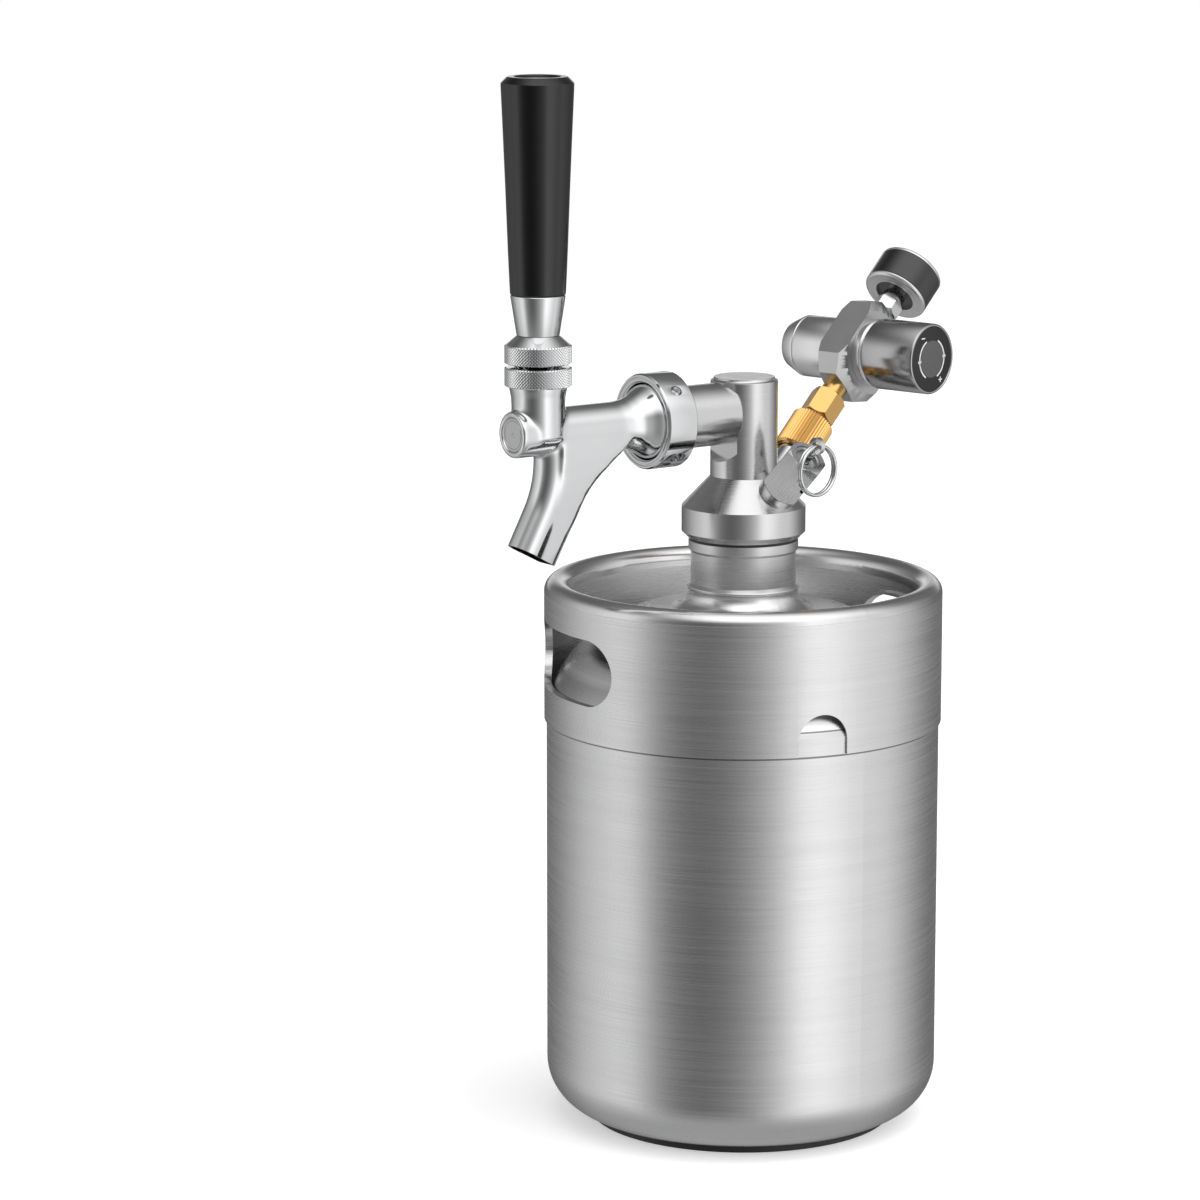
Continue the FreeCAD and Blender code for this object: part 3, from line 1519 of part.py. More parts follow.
def make_needle(arbor_bottom, dial_top):
    lift = dial_top + S.needle_rise
    hub = turned("needle_arbor", [
        (0, arbor_bottom),
        (S.arbor_radius, arbor_bottom),
        (S.arbor_radius, lift - S.needle_thickness),
        (S.needle_hub, lift - S.needle_thickness),
        (S.needle_hub, lift + S.needle_thickness * 2),
        (0, lift + S.needle_thickness * 2),
    ])
    span = S.needle_length + S.needle_tail
    blade = box("needle_blade", S.needle_width, span, S.needle_thickness,
                0, S.needle_length - span / 2, lift)
    rest = Placement(Vector(0, 0, 0), Rotation(Vector(0, 0, 1), float(S.needle_rest)))
    keep(fuse("gauge_needle", [hub, blade], gas_place.multiply(rest)))


# ---------------------------------------------------------------- build

make_keg()
make_skirt()
make_head()
make_shank()
make_coupling_ring()
make_faucet_body()
make_valve()
make_lever()
make_relief()
make_gas_inlet()
make_block()
make_socket()
make_bonnet()
make_knob()
make_gauge()
doc.recompute()

problems = []
for thing in doc.Objects:
    if "Invalid" in thing.State or "Error" in thing.State:
        problems.append(f"{thing.Name}: {thing.State}")
for thing in finished:
    shape = thing.Shape
    if shape.isNull() or not shape.isValid() or not shape.Solids:
        problems.append(f"{thing.Name}: no valid solid")
if problems:
    raise RuntimeError("; ".join(problems))
for thing in finished:
    thing.Shape.exportStep(f"parts/{thing.Label}.step")
    print(thing.Label, round(thing.Shape.Volume, 1), len(thing.Shape.Solids))
print("sub-parts:", len(finished))
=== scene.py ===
# %% [markdown]
# # Mini keg beer dispenser
# A four litre steel keg carries a screw-on head. On the head sit a chrome faucet with
# a black handle, a relief valve with a pull ring, and a small gas regulator. The
# solids are already there, packed with their joints. This lesson gives each solid its
# finish and models again the pieces whose surface a plain solid can't show: knurls,
# the cast faucet, the gauge face and the knob's label.

import json
import math

import bmesh
import bpy
from mathutils import Matrix, Vector

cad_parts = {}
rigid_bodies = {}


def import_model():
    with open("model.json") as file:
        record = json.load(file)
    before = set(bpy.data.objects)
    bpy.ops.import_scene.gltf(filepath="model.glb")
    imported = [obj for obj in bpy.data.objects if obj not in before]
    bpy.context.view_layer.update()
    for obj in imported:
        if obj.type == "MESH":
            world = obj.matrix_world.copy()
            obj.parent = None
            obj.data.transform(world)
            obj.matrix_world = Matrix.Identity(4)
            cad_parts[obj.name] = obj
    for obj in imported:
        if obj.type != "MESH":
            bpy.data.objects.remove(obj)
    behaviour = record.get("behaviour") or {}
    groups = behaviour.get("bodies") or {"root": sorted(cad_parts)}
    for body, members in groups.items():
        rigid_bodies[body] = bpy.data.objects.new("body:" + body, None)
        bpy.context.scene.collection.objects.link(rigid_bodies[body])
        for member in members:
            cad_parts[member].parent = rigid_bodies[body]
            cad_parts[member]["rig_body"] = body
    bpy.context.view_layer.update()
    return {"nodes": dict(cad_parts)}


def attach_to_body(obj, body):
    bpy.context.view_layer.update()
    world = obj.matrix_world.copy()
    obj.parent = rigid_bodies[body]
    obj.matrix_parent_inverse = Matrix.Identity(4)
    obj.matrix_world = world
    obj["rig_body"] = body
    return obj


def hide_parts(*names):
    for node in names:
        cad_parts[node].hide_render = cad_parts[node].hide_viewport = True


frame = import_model()
MM = 0.001
print("solids loaded:", len(frame["nodes"]))

# %% [markdown]
# ## Where things are
# Most pieces are turned, so each has an axis of its own. A turned piece is easiest to
# make upright at the origin and to move to its place once it is finished. The frames
# below hold those places: Z of each frame is the axis of the piece.

# %% Frames of the slanted and level pieces


def leaning(azimuth, elevation, height, station=0.0):
    """Frame on the keg's axis whose Z leans out, with a step along that Z."""
    turn = Matrix.Rotation(math.radians(azimuth), 4, "Z")
    lean = Matrix.Rotation(math.radians(90.0 - elevation), 4, "Y")
    lift = Matrix.Translation((0, 0, height * MM))
    return lift @ turn @ lean @ Matrix.Translation((0, 0, station * MM))


FAUCET_HEIGHT = 0.3069
LEVER_REACH = 0.1057
QUARTER_TURN = Matrix.Rotation(math.pi / 2, 4, "X")
UPRIGHT = Matrix.Identity(4)
FAUCET = Matrix.Translation((0, 0, FAUCET_HEIGHT)) @ QUARTER_TURN
LEVER = Matrix.Translation((0, -LEVER_REACH, FAUCET_HEIGHT))
RELIEF = leaning(8.1, 45.0, 253.5)
GAS = leaning(104.1, 41.0, 255.5)
BLOCK = leaning(104.1, 41.0, 255.5, 105.0) @ QUARTER_TURN
print("gas axis:", [round(part, 3) for part in GAS.to_3x3().col[2]])

# %% [markdown]
# ## Shader maths
# A finish is a small program of nodes. Written as Python it is easier to read: one
# class holds a socket and lets ordinary signs add the Math nodes.

# %% One class for shader values


class Tint:
    """One value or colour inside a material's or the world's nodes."""

    def __init__(self, tree, socket=None):
        self.tree, self.socket = tree, socket

    def make(self, kind, inputs=(), output=0, stops=None, **settings):
        """Add a node: its settings first, then its sockets by name or by number."""
        node = self.tree.nodes.new(kind)
        for key, value in settings.items():
            setattr(node, key, value)
        if stops:
            ramp = node.color_ramp
            while len(ramp.elements) < len(stops):
                ramp.elements.new(0.5)
            for element, (place, shade) in zip(ramp.elements, stops):
                element.position = place
                element.color = shade
        for key, value in dict(inputs).items():
            if isinstance(value, Tint):
                self.tree.links.new(value.socket, node.inputs[key])
            else:
                node.inputs[key].default_value = value
        return Tint(self.tree, node.outputs[output] if node.outputs else None)

    def maths(self, operation, *values, **settings):
        return self.make("ShaderNodeMath", enumerate(values), operation=operation,
                         **settings)

    def __add__(self, other):
        return self.maths("ADD", self, other)

    __radd__ = __add__

    def __sub__(self, other):
        return self.maths("SUBTRACT", self, other)

    def __rsub__(self, other):
        return self.maths("SUBTRACT", other, self)

    def __mul__(self, other):
        return self.maths("MULTIPLY", self, other)

    __rmul__ = __mul__

    def __truediv__(self, other):
        return self.maths("DIVIDE", self, other)

    def clamped(self):
        return self.maths("ADD", self, 0.0, use_clamp=True)

    def root(self):
        return self.maths("SQRT", self)

    def place(self):
        """The point on the object, in metres."""
        return self.make("ShaderNodeTexCoord", output=3)

    def vector(self, operation, *values, output=0):
        return self.make("ShaderNodeVectorMath", enumerate(values), output,
                         operation=operation)

    def noise(self, at, scale, detail=2.0, rough=0.5):
        return self.make("ShaderNodeTexNoise",
                         {"Vector": at, "Scale": scale, "Detail": detail,
                          "Roughness": rough})

    def ranged(self, start, end, low, high, kind="LINEAR"):
        """Go from low to high while this value goes from start to end."""
        return self.make("ShaderNodeMapRange", {0: self, 1: start, 2: end, 3: low, 4: high},
                         interpolation_type=kind)

    def eased(self, start, end, low, high):
        """The same with soft ends."""
        return self.ranged(start, end, low, high, "SMOOTHSTEP")

    def spread(self, low, high):
        """Stretch the middle of a noise to the range low to high."""
        return self.ranged(0.3, 0.7, low, high)

    def mix(self, first, second):
        """Colour mix, with this value as the factor."""
        return self.make("ShaderNodeMix", {0: self, 6: first, 7: second}, 2,
                         data_type="RGBA")

    def bump(self, height, distance):
        return self.make("ShaderNodeBump",
                         {"Height": height, "Distance": distance, "Strength": 1.0})


def grey(level):
    return (level, level, level, 1.0)


def finish(name, build, **constants):
    """A material: constants go straight on the shader's own sockets."""
    material = bpy.data.materials.new(name)
    material.use_nodes = True
    tree = material.node_tree
    shader = tree.nodes["Principled BSDF"]
    for key, value in constants.items():
        shader.inputs[key.replace("_", " ")].default_value = value
    for key, value in build(Tint(tree)).items():
        tree.links.new(value.socket, shader.inputs[key])
    return material


# %% [markdown]
# ## Metal finishes
# Bare metal is told by what its surface does to the reflections. Brushing leaves
# fine lines, all one way, that blur reflections across them. Turning leaves the same
# lines round an axis. Polished plating has almost none. All lines here are noise that
# is stretched along the way the tool went.

# %% Brushed, turned and polished metal
LINES_PER_METRE = 2600.0


def brushed_round(base, rough, line=1.0, depth=0.000012, weld_and_shade_bands=(), **more):
    """Fine lines round the upright axis, as a belt leaves them on a turning keg.

    Each band is (height, half width, shade) in mm: painted shade and dark weld lines.
    """

    def build(tint):
        lines = (14.0 * line, 14.0 * line, LINES_PER_METRE * line)
        at = tint.vector("MULTIPLY", tint.place(), lines)
        fine = tint.noise(at, 1.0, 3.0, 0.6)
        wide = tint.noise(tint.vector("MULTIPLY", at, (0.35, 0.35, 0.08)), 1.0, 2.0)
        cloud = tint.noise(tint.place(), 16.0, 2.0)
        level = fine.spread(0.93, 1.05) * wide.spread(0.965, 1.03)
        height = tint.make("ShaderNodeSeparateXYZ", {0: tint.place()}, 2)
        # Painted shade: the colour is darkened in bands at given heights.
        for band_height, width, shade in weld_and_shade_bands:
            gap = tint.maths("ABSOLUTE", height - band_height * MM) / (width * MM)
            level = level * gap.ranged(0.5, 1.0, shade, 1.0)
        return {
            "Base Color": level.clamped().mix(grey(0.0), base),
            "Roughness": fine.spread(rough - 0.05, rough + 0.07) + cloud.spread(-0.02, 0.02),
            "Normal": tint.bump(fine * 0.7 + wide * 0.3, depth),
        }

    return build, dict(Metallic=1.0, **more)


def turned_about(base, rough, place=UPRIGHT, pitch=0.35, depth=0.000006):
    """Tool marks in rings about the axis of a frame."""
    origin = tuple(place.translation)
    axis = tuple((place.to_3x3() @ Vector((0, 0, 1))).normalized())
    lines = 1000.0 / pitch

    def build(tint):
        out = tint.vector("SUBTRACT", tint.place(), origin)
        along = tint.vector("DOT_PRODUCT", out, axis, output=1)
        reach = tint.vector("LENGTH", out, output=1)
        radius = (reach * reach - along * along).clamped().root()
        at = tint.make("ShaderNodeCombineXYZ", {0: along * lines, 1: radius * lines})
        marks = tint.noise(at, 1.0, 3.0, 0.6)
        cloud = tint.noise(tint.place(), 60.0, 2.0)
        return {
            "Base Color": (marks.spread(0.94, 1.04) * cloud.spread(0.97, 1.02)).clamped()
            .mix(grey(0.0), base),
            "Roughness": marks.spread(rough - 0.04, rough + 0.05)
            + cloud.spread(-0.02, 0.03),
            "Normal": tint.bump(marks, depth),
        }

    return build, dict(Metallic=1.0)


def drawn_along(base, rough, place):
    """Lines along the axis of a frame, as drawing leaves them on bar stock."""
    spin = place.to_3x3().transposed()
    rows = [tuple(spin[i]) for i in range(3)]

    def build(tint):
        parts = [tint.vector("DOT_PRODUCT", tint.place(), row, output=1) for row in rows]
        at = tint.make("ShaderNodeCombineXYZ", {0: parts[0] * LINES_PER_METRE,
                                                1: parts[1] * LINES_PER_METRE,
                                                2: parts[2] * 60.0})
        lines = tint.noise(at, 1.0, 3.0, 0.6)
        cloud = tint.noise(tint.place(), 60.0, 2.0)
        return {
            "Base Color": (lines.spread(0.80, 1.08) * cloud.spread(0.95, 1.02)).clamped()
            .mix(grey(0.0), base),
            "Roughness": lines.spread(rough - 0.05, rough + 0.06),
            "Normal": tint.bump(lines, 0.000004),
        }

    return build, dict(Metallic=1.0)


def polished(base, rough, smear=0.03):
    """Buffed plating: nearly clean, with faint clouds from wiping."""

    def build(tint):
        cloud = tint.noise(tint.place(), 45.0, 3.0, 0.6)
        fine = tint.noise(tint.place(), 900.0, 2.0)
        return {
            "Base Color": cloud.spread(0.97, 1.0).clamped().mix(grey(0.0), base),
            "Roughness": cloud.spread(rough, rough + smear) + fine.spread(0.0, 0.01),
            "Normal": tint.bump(fine, 0.000001),
        }

    return build, dict(Metallic=1.0)


def plain(base, rough, grain=700.0, depth=0.00001, change=0.12, **more):
    """Moulded or painted surface with a fine grain and faint clouds."""

    def build(tint):
        fine = tint.noise(tint.place(), grain, 3.0, 0.6)
        cloud = tint.noise(tint.place(), 50.0, 2.0)
        shade = (fine.spread(0.0, 1.0) * 0.5 + cloud.spread(0.0, 1.0) * 0.5).clamped()
        low = tuple(c * (1.0 - change) for c in base[:3]) + (1.0,)
        high = tuple(min(1.0, c * (1.0 + change)) for c in base[:3]) + (1.0,)
        return {
            "Base Color": shade.mix(low, high),
            "Roughness": cloud.spread(rough - 0.04, rough + 0.04),
            "Normal": tint.bump(fine, depth),
        }

    return build, more


def coat(name, recipe):
    build, constants = recipe
    return finish(name, build, **constants)


STEEL = (0.66, 0.66, 0.665, 1.0)
SATIN = (0.60, 0.60, 0.605, 1.0)
# Painted light: a lighter copy of the keg's steel, for the shoulder seen inside the skirt.
PAINTED_LIGHT_STEEL = (0.74, 0.74, 0.745, 1.0)
CHROME = (0.66, 0.665, 0.67, 1.0)
BRASS = (0.70, 0.43, 0.15, 1.0)
ALUMINIUM = (0.70, 0.70, 0.71, 1.0)
DULL_STEEL = (0.50, 0.50, 0.505, 1.0)
# Painted shade: a darker copy of the chrome for the knob, standing in for the dimmer
# reflections it shows.
SHADED_CHROME = (0.42, 0.42, 0.425, 1.0)
print("metal recipes ready")

# %% [markdown]
# ## Dress the solids
# Every solid that stays gets a finish that fits how that piece is really made. The
# keg's wall is brushed round its axis. The head's pieces are turned, each about its
# own axis, so their marks follow that axis.

# %% Finishes of the kept solids
# Painted shade: a dark band on the body just under the skirt's lower edge. On the shoulder,
# seen through the skirt's openings: a grey band of painted shade, a dark weld line, and wide
# painted shade under the skirt's arches.
SKIRT_EDGE_SHADE = [(174.15, 0.55, 0.3)]
SHOULDER_WELD_AND_SHADE = [(182.6, 2.2, 0.78), (184.6, 0.45, 0.3), (192.5, 6.5, 0.6)]
brushed_keg = coat("brushed_keg", brushed_round(STEEL, 0.27, Anisotropic=0.55))
brushed_body = coat("brushed_body", brushed_round(STEEL, 0.27, weld_and_shade_bands=SKIRT_EDGE_SHADE,
                                                  Anisotropic=0.55))
brushed_shoulder = coat("brushed_shoulder", brushed_round(PAINTED_LIGHT_STEEL, 0.24, 1.4,
                                                          weld_and_shade_bands=SHOULDER_WELD_AND_SHADE))
rim_polish = coat("rim_polish", brushed_round(STEEL, 0.19, 0.8, 0.000008))
turned_neck = coat("turned_neck", brushed_round(STEEL, 0.30, 1.2, 0.00001))
turned_head = coat("turned_head", turned_about(SATIN, 0.22, UPRIGHT, 0.30))
turned_shank = coat("turned_shank", turned_about(SATIN, 0.20, FAUCET, 0.30))
chrome = coat("polished_chrome", polished(CHROME, 0.06))
chrome_gas = coat("chrome_gas", turned_about(CHROME, 0.14, GAS, 0.25, 0.000003))
relief_steel = coat("relief_steel", drawn_along(DULL_STEEL, 0.26, RELIEF))
turned_face = coat("turned_face", turned_about(SATIN, 0.28, FAUCET, 0.7, 0.00003))
brass = coat("bright_brass", turned_about(BRASS, 0.20, GAS, 0.30))
block_satin = coat("block_satin", plain(DULL_STEEL, 0.36, 1400.0, 0.000004, 0.04,
                                        Metallic=1.0))
socket_satin = coat("socket_satin", turned_about(ALUMINIUM, 0.22, BLOCK, 0.3))
knob_chrome = coat("knob_chrome", turned_about(SHADED_CHROME, 0.17, BLOCK, 0.22, 0.000002))
rubber = coat("black_rubber", plain(grey(0.02), 0.62, 900.0, 0.00003))
seal = coat("dark_seal", plain(grey(0.03), 0.5, 900.0, 0.00002))
nylon = coat("pale_nylon", plain((0.82, 0.80, 0.74, 1.0), 0.45, 500.0, 0.00001, 0.04))
handle_black = coat("handle_black", plain(grey(0.002), 0.12, 300.0, 0.000002, 0.2,
                                          Specular_IOR_Level=0.55))
case_black = coat("case_black", plain(grey(0.004), 0.2, 800.0, 0.000003, 0.2,
                                      Coat_Weight=0.5, Coat_Roughness=0.06))
spring_wire = coat("spring_wire", plain(grey(0.5), 0.3, 900.0, 0.000004, 0.05, Metallic=1.0))
dial_white = coat("dial_white", plain(grey(0.86), 0.5, 1200.0, 0.000002, 0.03))
ink = coat("dial_ink", plain(grey(0.015), 0.45, 900.0, 0.000002))
label_black = coat("label_black", plain(grey(0.008), 0.45, 1500.0, 0.000004, 0.12))
label_grey = coat("label_grey", plain(grey(0.09), 0.5, 1500.0, 0.000004, 0.12))
ring_satin = coat("ring_satin", turned_about(ALUMINIUM, 0.34, GAS, 0.5))
label_white = coat("label_white", plain(grey(0.82), 0.4, 900.0, 0.000002, 0.03))
lens_clear = coat("lens_clear", plain(grey(0.98), 0.03, 200.0, 0.0, 0.01,
                                      Transmission_Weight=1.0, IOR=1.46))

DRESS = {
    "keg_base": brushed_body, "keg_body": brushed_body, "top_skirt": brushed_keg,
    "rim_bead": rim_polish, "keg_shoulder": brushed_shoulder,
    "keg_neck": turned_neck, "neck_bead": turned_neck, "foot_ring": rubber,
    "head_cap": turned_head, "riser_tower": turned_head, "neck_gasket": seal,
    "dip_tube": spring_wire, "dip_tube_seal": seal, "shank_tube": turned_shank,
    "shank_washer": seal, "coupling_ring": chrome, "faucet_body": chrome,
    "faucet_plug": chrome, "valve_shaft": spring_wire, "shaft_seat": seal,
    "ball_washer": nylon, "friction_washer": nylon, "lever_bonnet": chrome,
    "lever": chrome, "lever_nut": chrome, "handle_ferrule": chrome,
    "handle_grip": handle_black, "relief_body": relief_steel,
    "relief_cap": relief_steel, "relief_pin": chrome, "relief_seat": seal,
    "relief_spring": spring_wire, "pull_ring": chrome, "gas_boss": chrome_gas,
    "swivel_washer": seal, "swivel_nut": brass, "outlet_adapter": brass,
    "regulator_block": block_satin, "cartridge_socket": socket_satin,
    "cartridge_seal": seal, "piercing_pin": spring_wire, "bonnet_collar": socket_satin,
    "diaphragm": seal, "spring_plate": spring_wire, "main_spring": spring_wire,
    "adjust_screw": spring_wire, "adjust_knob": knob_chrome, "knob_label": label_black,
    "gauge_stem": chrome_gas, "gauge_back_ring": ring_satin, "gauge_case": case_black,
    "gauge_dial": dial_white, "bourdon_tube": brass, "gauge_movement": brass,
    "gauge_needle": ink, "gauge_lens": lens_clear, "gauge_bezel": chrome_gas,
}
for node, solid in frame["nodes"].items():
    solid.data.materials.clear()
    solid.data.materials.append(DRESS[node])
print("solids dressed:", len(frame["nodes"]))

# %% [markdown]
# ## Studio
# Metal shows what stands round it, so the studio is a ring of soft boxes and dark
# gaps: a broad box to the right of the lens, a narrower one to the left, darkness
# between and behind. A low pale strip behind brightens level faces. The world is
# painted by direction only, and the lens itself sees plain white. The pale floor is
# left out of reflections, so that the ring of boxes goes on below the horizon.

# %% World by direction
LENS = Vector((1.5729, -1.1809, 0.5969))
LENS_AZIMUTH = math.degrees(math.atan2(LENS.y, LENS.x))
BOXES = [
    (-180, 0.13), (-155, 0.16), (-133, 0.30), (-118, 0.50), (-106, 0.70), (-88, 0.88),
    (-78, 1.06), (-66, 1.04), (-59, 0.70), (-51, 0.40), (-44, 0.27), (-36, 0.19),
    (-23, 0.14), (-8, 0.21), (2, 0.33), (12, 0.50), (24, 0.80), (32, 1.24), (39, 1.52),
    (50, 1.45), (58, 1.30), (66, 1.12), (80, 0.93), (90, 1.0), (99, 0.82), (111, 0.60),
    (124, 0.36), (141, 0.19), (180, 0.13),
]
STUDIO_STRENGTH = 2.0
STRIP_LIGHT = 0.42
GROUND_LIGHT = 0.24


def light_studio():
    world = bpy.data.worlds.new("studio")
    bpy.context.scene.world = world
    world.use_nodes = True
    tree = world.node_tree
    tree.nodes.clear()
    tint = Tint(tree)
    way = tint.make("ShaderNodeTexCoord")
    parts = [tint.make("ShaderNodeSeparateXYZ", {0: way}, i) for i in range(3)]
    turn = tint.maths("ARCTAN2", parts[1], parts[0]) * (0.5 / math.pi)
    spot = tint.maths("FRACT", turn - (LENS_AZIMUTH / 360.0 - 0.5))
    ring = tint.make("ShaderNodeValToRGB", {0: spot},
                     stops=[(angle / 360.0 + 0.5, grey(level / STUDIO_STRENGTH))
                            for angle, level in BOXES])
    above = parts[2].eased(0.30, 0.80, 0.0, 1.0)
    front = tint.vector("DOT_PRODUCT", way, LENS.normalized(), output=1)
    side = tint.vector("DOT_PRODUCT", way, (0.6, 0.8, 0.0), output=1)
    near = front.eased(-0.5, 0.7, 0.10, 0.90)
    right = side.eased(-0.7, -0.1, 0.22, 1.0)
    ceiling = near * right
    behind = front.eased(-0.80, -0.93, 0.0, 1.0)
    rising = parts[2].ranged(0.02, 0.06, 0.0, 1.0)
    ending = parts[2].ranged(0.24, 0.34, 1.0, 0.0)
    horizon = behind * rising * ending * STRIP_LIGHT
    below = parts[2].eased(-0.35, -0.9, 0.0, 1.0)
    sky = below.mix(above.mix(ring.vector("ADD", ring, horizon), ceiling), grey(GROUND_LIGHT))
    lit = tint.make("ShaderNodeBackground", {0: sky, 1: STUDIO_STRENGTH})
    white = tint.make("ShaderNodeBackground", {0: grey(1.0), 1: 1.0})
    path = tint.make("ShaderNodeLightPath", output=0)
    through = tint.make("ShaderNodeLightPath", output=6)
    seen = tint.maths("MAXIMUM", path, through)
    mixed = tint.make("ShaderNodeMixShader", {0: seen, 1: lit, 2: white})
    tint.make("ShaderNodeOutputWorld", {0: mixed})


light_studio()
bpy.context.scene.view_settings.view_transform = "Standard"
print("soft boxes round the object:", len(BOXES), "stops")

# %% [markdown]
# ## Floor, lamp and camera
# The floor is a pale disc: it is seen and takes the shadow, but is no part of the
# object. One large lamp above and behind gives that shadow a soft side.
# The camera stands well back with a long lens, so the keg's sides stay upright.

# %% Floor, lamp and camera
FOCAL_PIXELS, FRAME_PIXELS, SENSOR = 4684.0, 1200.0, 36.0
LENS_WAY = Vector((-0.80374, 0.56527, -0.18572))


def deselect():
    if bpy.context.mode != "OBJECT":
        bpy.ops.object.mode_set(mode="OBJECT")
    bpy.ops.object.select_all(action="DESELECT")


def lay_floor():
    deselect()
    bpy.ops.mesh.primitive_circle_add(vertices=96, radius=3.0, fill_type="NGON",
                                      location=(0, 0, -0.0002))
    floor = bpy.context.object
    floor.name = "studio_floor"
    material = bpy.data.materials.new("studio_floor")
    material.use_nodes = True
    tree = material.node_tree
    tree.nodes.clear()
    tint = Tint(tree)
    dull = tint.make("ShaderNodeBsdfDiffuse", {0: grey(0.80)})
    glow = tint.make("ShaderNodeEmission", {0: grey(1.0), 1: 0.42})
    none = tint.make("ShaderNodeEmission", {0: grey(0.0), 1: 0.0})
    seen = tint.make("ShaderNodeLightPath", output=0)
    extra = tint.make("ShaderNodeMixShader", {0: seen, 1: none, 2: glow})
    both = tint.make("ShaderNodeAddShader", {0: dull, 1: extra})
    tint.make("ShaderNodeOutputMaterial", {0: both})
    floor.data.materials.append(material)
    floor.visible_glossy = False


def hang_lamp(name, place, aim, size, power):
    lamp = bpy.data.lights.new(name, "AREA")
    lamp.energy, lamp.size = power, size
    holder = bpy.data.objects.new(name, lamp)
    bpy.context.scene.collection.objects.link(holder)
    holder.location = place
    holder.rotation_euler = (Vector(aim) - Vector(place)).to_track_quat("-Z", "Y").to_euler()
    holder.visible_glossy = False


def set_camera():
    camera = bpy.data.cameras.new("camera")
    camera.sensor_width, camera.lens = SENSOR, SENSOR * FOCAL_PIXELS / FRAME_PIXELS
    camera.clip_start, camera.clip_end = 0.05, 50.0
    holder = bpy.data.objects.new("camera", camera)
    bpy.context.scene.collection.objects.link(holder)
    holder.location = LENS
    holder.rotation_euler = LENS_WAY.to_track_quat("-Z", "Y").to_euler()
    bpy.context.scene.camera = holder


lay_floor()
hang_lamp("top_box", place=(0.2, 0.5, 1.6), aim=(0, 0, 0.1), size=1.4, power=9.0)
set_camera()
print("camera stands", round(LENS.length, 2), "m away")

# %% [markdown]
# ## Modelling helpers
# The steps below use the same few moves again and again: select by place, merge,
# bevel, smooth, and put a finished piece where it belongs. They are kept here.

# %% Modelling helpers
MERGE = 0.000002


def take(piece):
    """Make one piece the only one selected, and the active one."""
    deselect()
    piece.select_set(True)
    bpy.context.view_layer.objects.active = piece


def edit(piece):
    """Go into edit mode on one piece with nothing selected."""
    take(piece)
    bpy.ops.object.mode_set(mode="EDIT")
    bpy.ops.mesh.select_all(action="DESELECT")


def pick(piece, kind, test):
    """Select the vertices, edges or faces that pass a test on their middle."""
    bpy.ops.mesh.select_mode(type=kind)
    shape = bmesh.from_edit_mesh(piece.data)
    shape.normal_update()
    parts = {"VERT": shape.verts, "EDGE": shape.edges, "FACE": shape.faces}[kind]
    for part in parts:
        if kind == "VERT":
            middle = part.co
        elif kind == "EDGE":
            middle = (part.verts[0].co + part.verts[1].co) / 2
        else:
            middle = part.calc_center_median()
        part.select_set(bool(test(middle, part)))
    shape.select_flush_mode()
    bmesh.update_edit_mesh(piece.data)


def close_up(piece):
    """Merge doubles, turn faces outwards and leave edit mode."""
    bpy.ops.mesh.select_mode(type="VERT")
    bpy.ops.mesh.select_all(action="SELECT")
    bpy.ops.mesh.remove_doubles(threshold=MERGE)
    bpy.ops.mesh.normals_make_consistent(inside=False)
    bpy.ops.object.mode_set(mode="OBJECT")


def modify(piece, kind, **settings):
    """Add one modifier and apply it at once."""
    take(piece)
    modifier = piece.modifiers.new(kind, kind)
    for key, value in settings.items():
        setattr(modifier, key, value)
    bpy.ops.object.modifier_apply(modifier=modifier.name)


def soften(piece, width, segments=3, angle=28.0):
    """Break the sharp edges as a polisher does."""
    modify(piece, "BEVEL", width=width * MM, segments=segments, limit_method="ANGLE",
           angle_limit=math.radians(angle), harden_normals=False)


def smooth(piece, angle):
    """Shade smooth, with a crease where faces meet at more than the angle."""
    take(piece)
    bpy.ops.object.shade_smooth_by_angle(angle=math.radians(angle))


def settle(piece, place):
    """Move a piece to its place and keep that place in its mesh."""
    take(piece)
    piece.matrix_world = place @ piece.matrix_world
    bpy.ops.object.transform_apply(location=True, rotation=True, scale=True)


def lathe(name, outline, steps, closed=True, turn=360.0):
    """Turn an outline of (radius, height) points, in mm, about Z.

    A closed outline is a ring's section. An open one starts and ends on the axis.
    """
    deselect()
    bpy.ops.mesh.primitive_plane_add(size=MM)
    piece = bpy.context.object
    piece.name = name
    bpy.ops.object.mode_set(mode="EDIT")
    bpy.ops.mesh.select_mode(type="VERT")
    bpy.ops.mesh.merge(type="CENTER")
    at = Vector((0, 0, 0))
    for index, (radius, height) in enumerate(outline):
        there = Vector((radius * MM, 0, height * MM))
        if index:
            bpy.ops.mesh.extrude_region_move(TRANSFORM_OT_translate={"value": there - at})
        else:
            bpy.ops.transform.translate(value=there)
        at = there
    if closed:
        ends = [Vector((r * MM, 0, z * MM)) for r, z in (outline[0], outline[-1])]
        pick(piece, "VERT", lambda m, v: min((m - e).length for e in ends) < 1e-7)
        bpy.ops.mesh.edge_face_add()
    bpy.ops.mesh.select_all(action="SELECT")
    bpy.ops.mesh.spin(steps=steps, angle=math.radians(turn), center=(0, 0, 0),
                      axis=(0, 0, 1))
    if turn < 360.0:
        bpy.ops.mesh.select_all(action="SELECT")
        bpy.ops.mesh.fill_holes(sides=0)
    close_up(piece)
    return piece


def attach(piece, node, material, place=UPRIGHT, angle=35.0):
    """Smooth and settle a piece and let it ride with a solid's body."""
    settle(piece, place)
    if angle:
        smooth(piece, angle)
    piece.data.materials.clear()
    piece.data.materials.append(material)
    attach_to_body(piece, frame["nodes"][node]["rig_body"])
    print(piece.name, len(piece.data.polygons), "faces")


def adopt(piece, node, material, place=UPRIGHT, angle=35.0):
    """Attach a piece and let it stand for its solid."""
    attach(piece, node, material, place, angle)
    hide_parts(node)


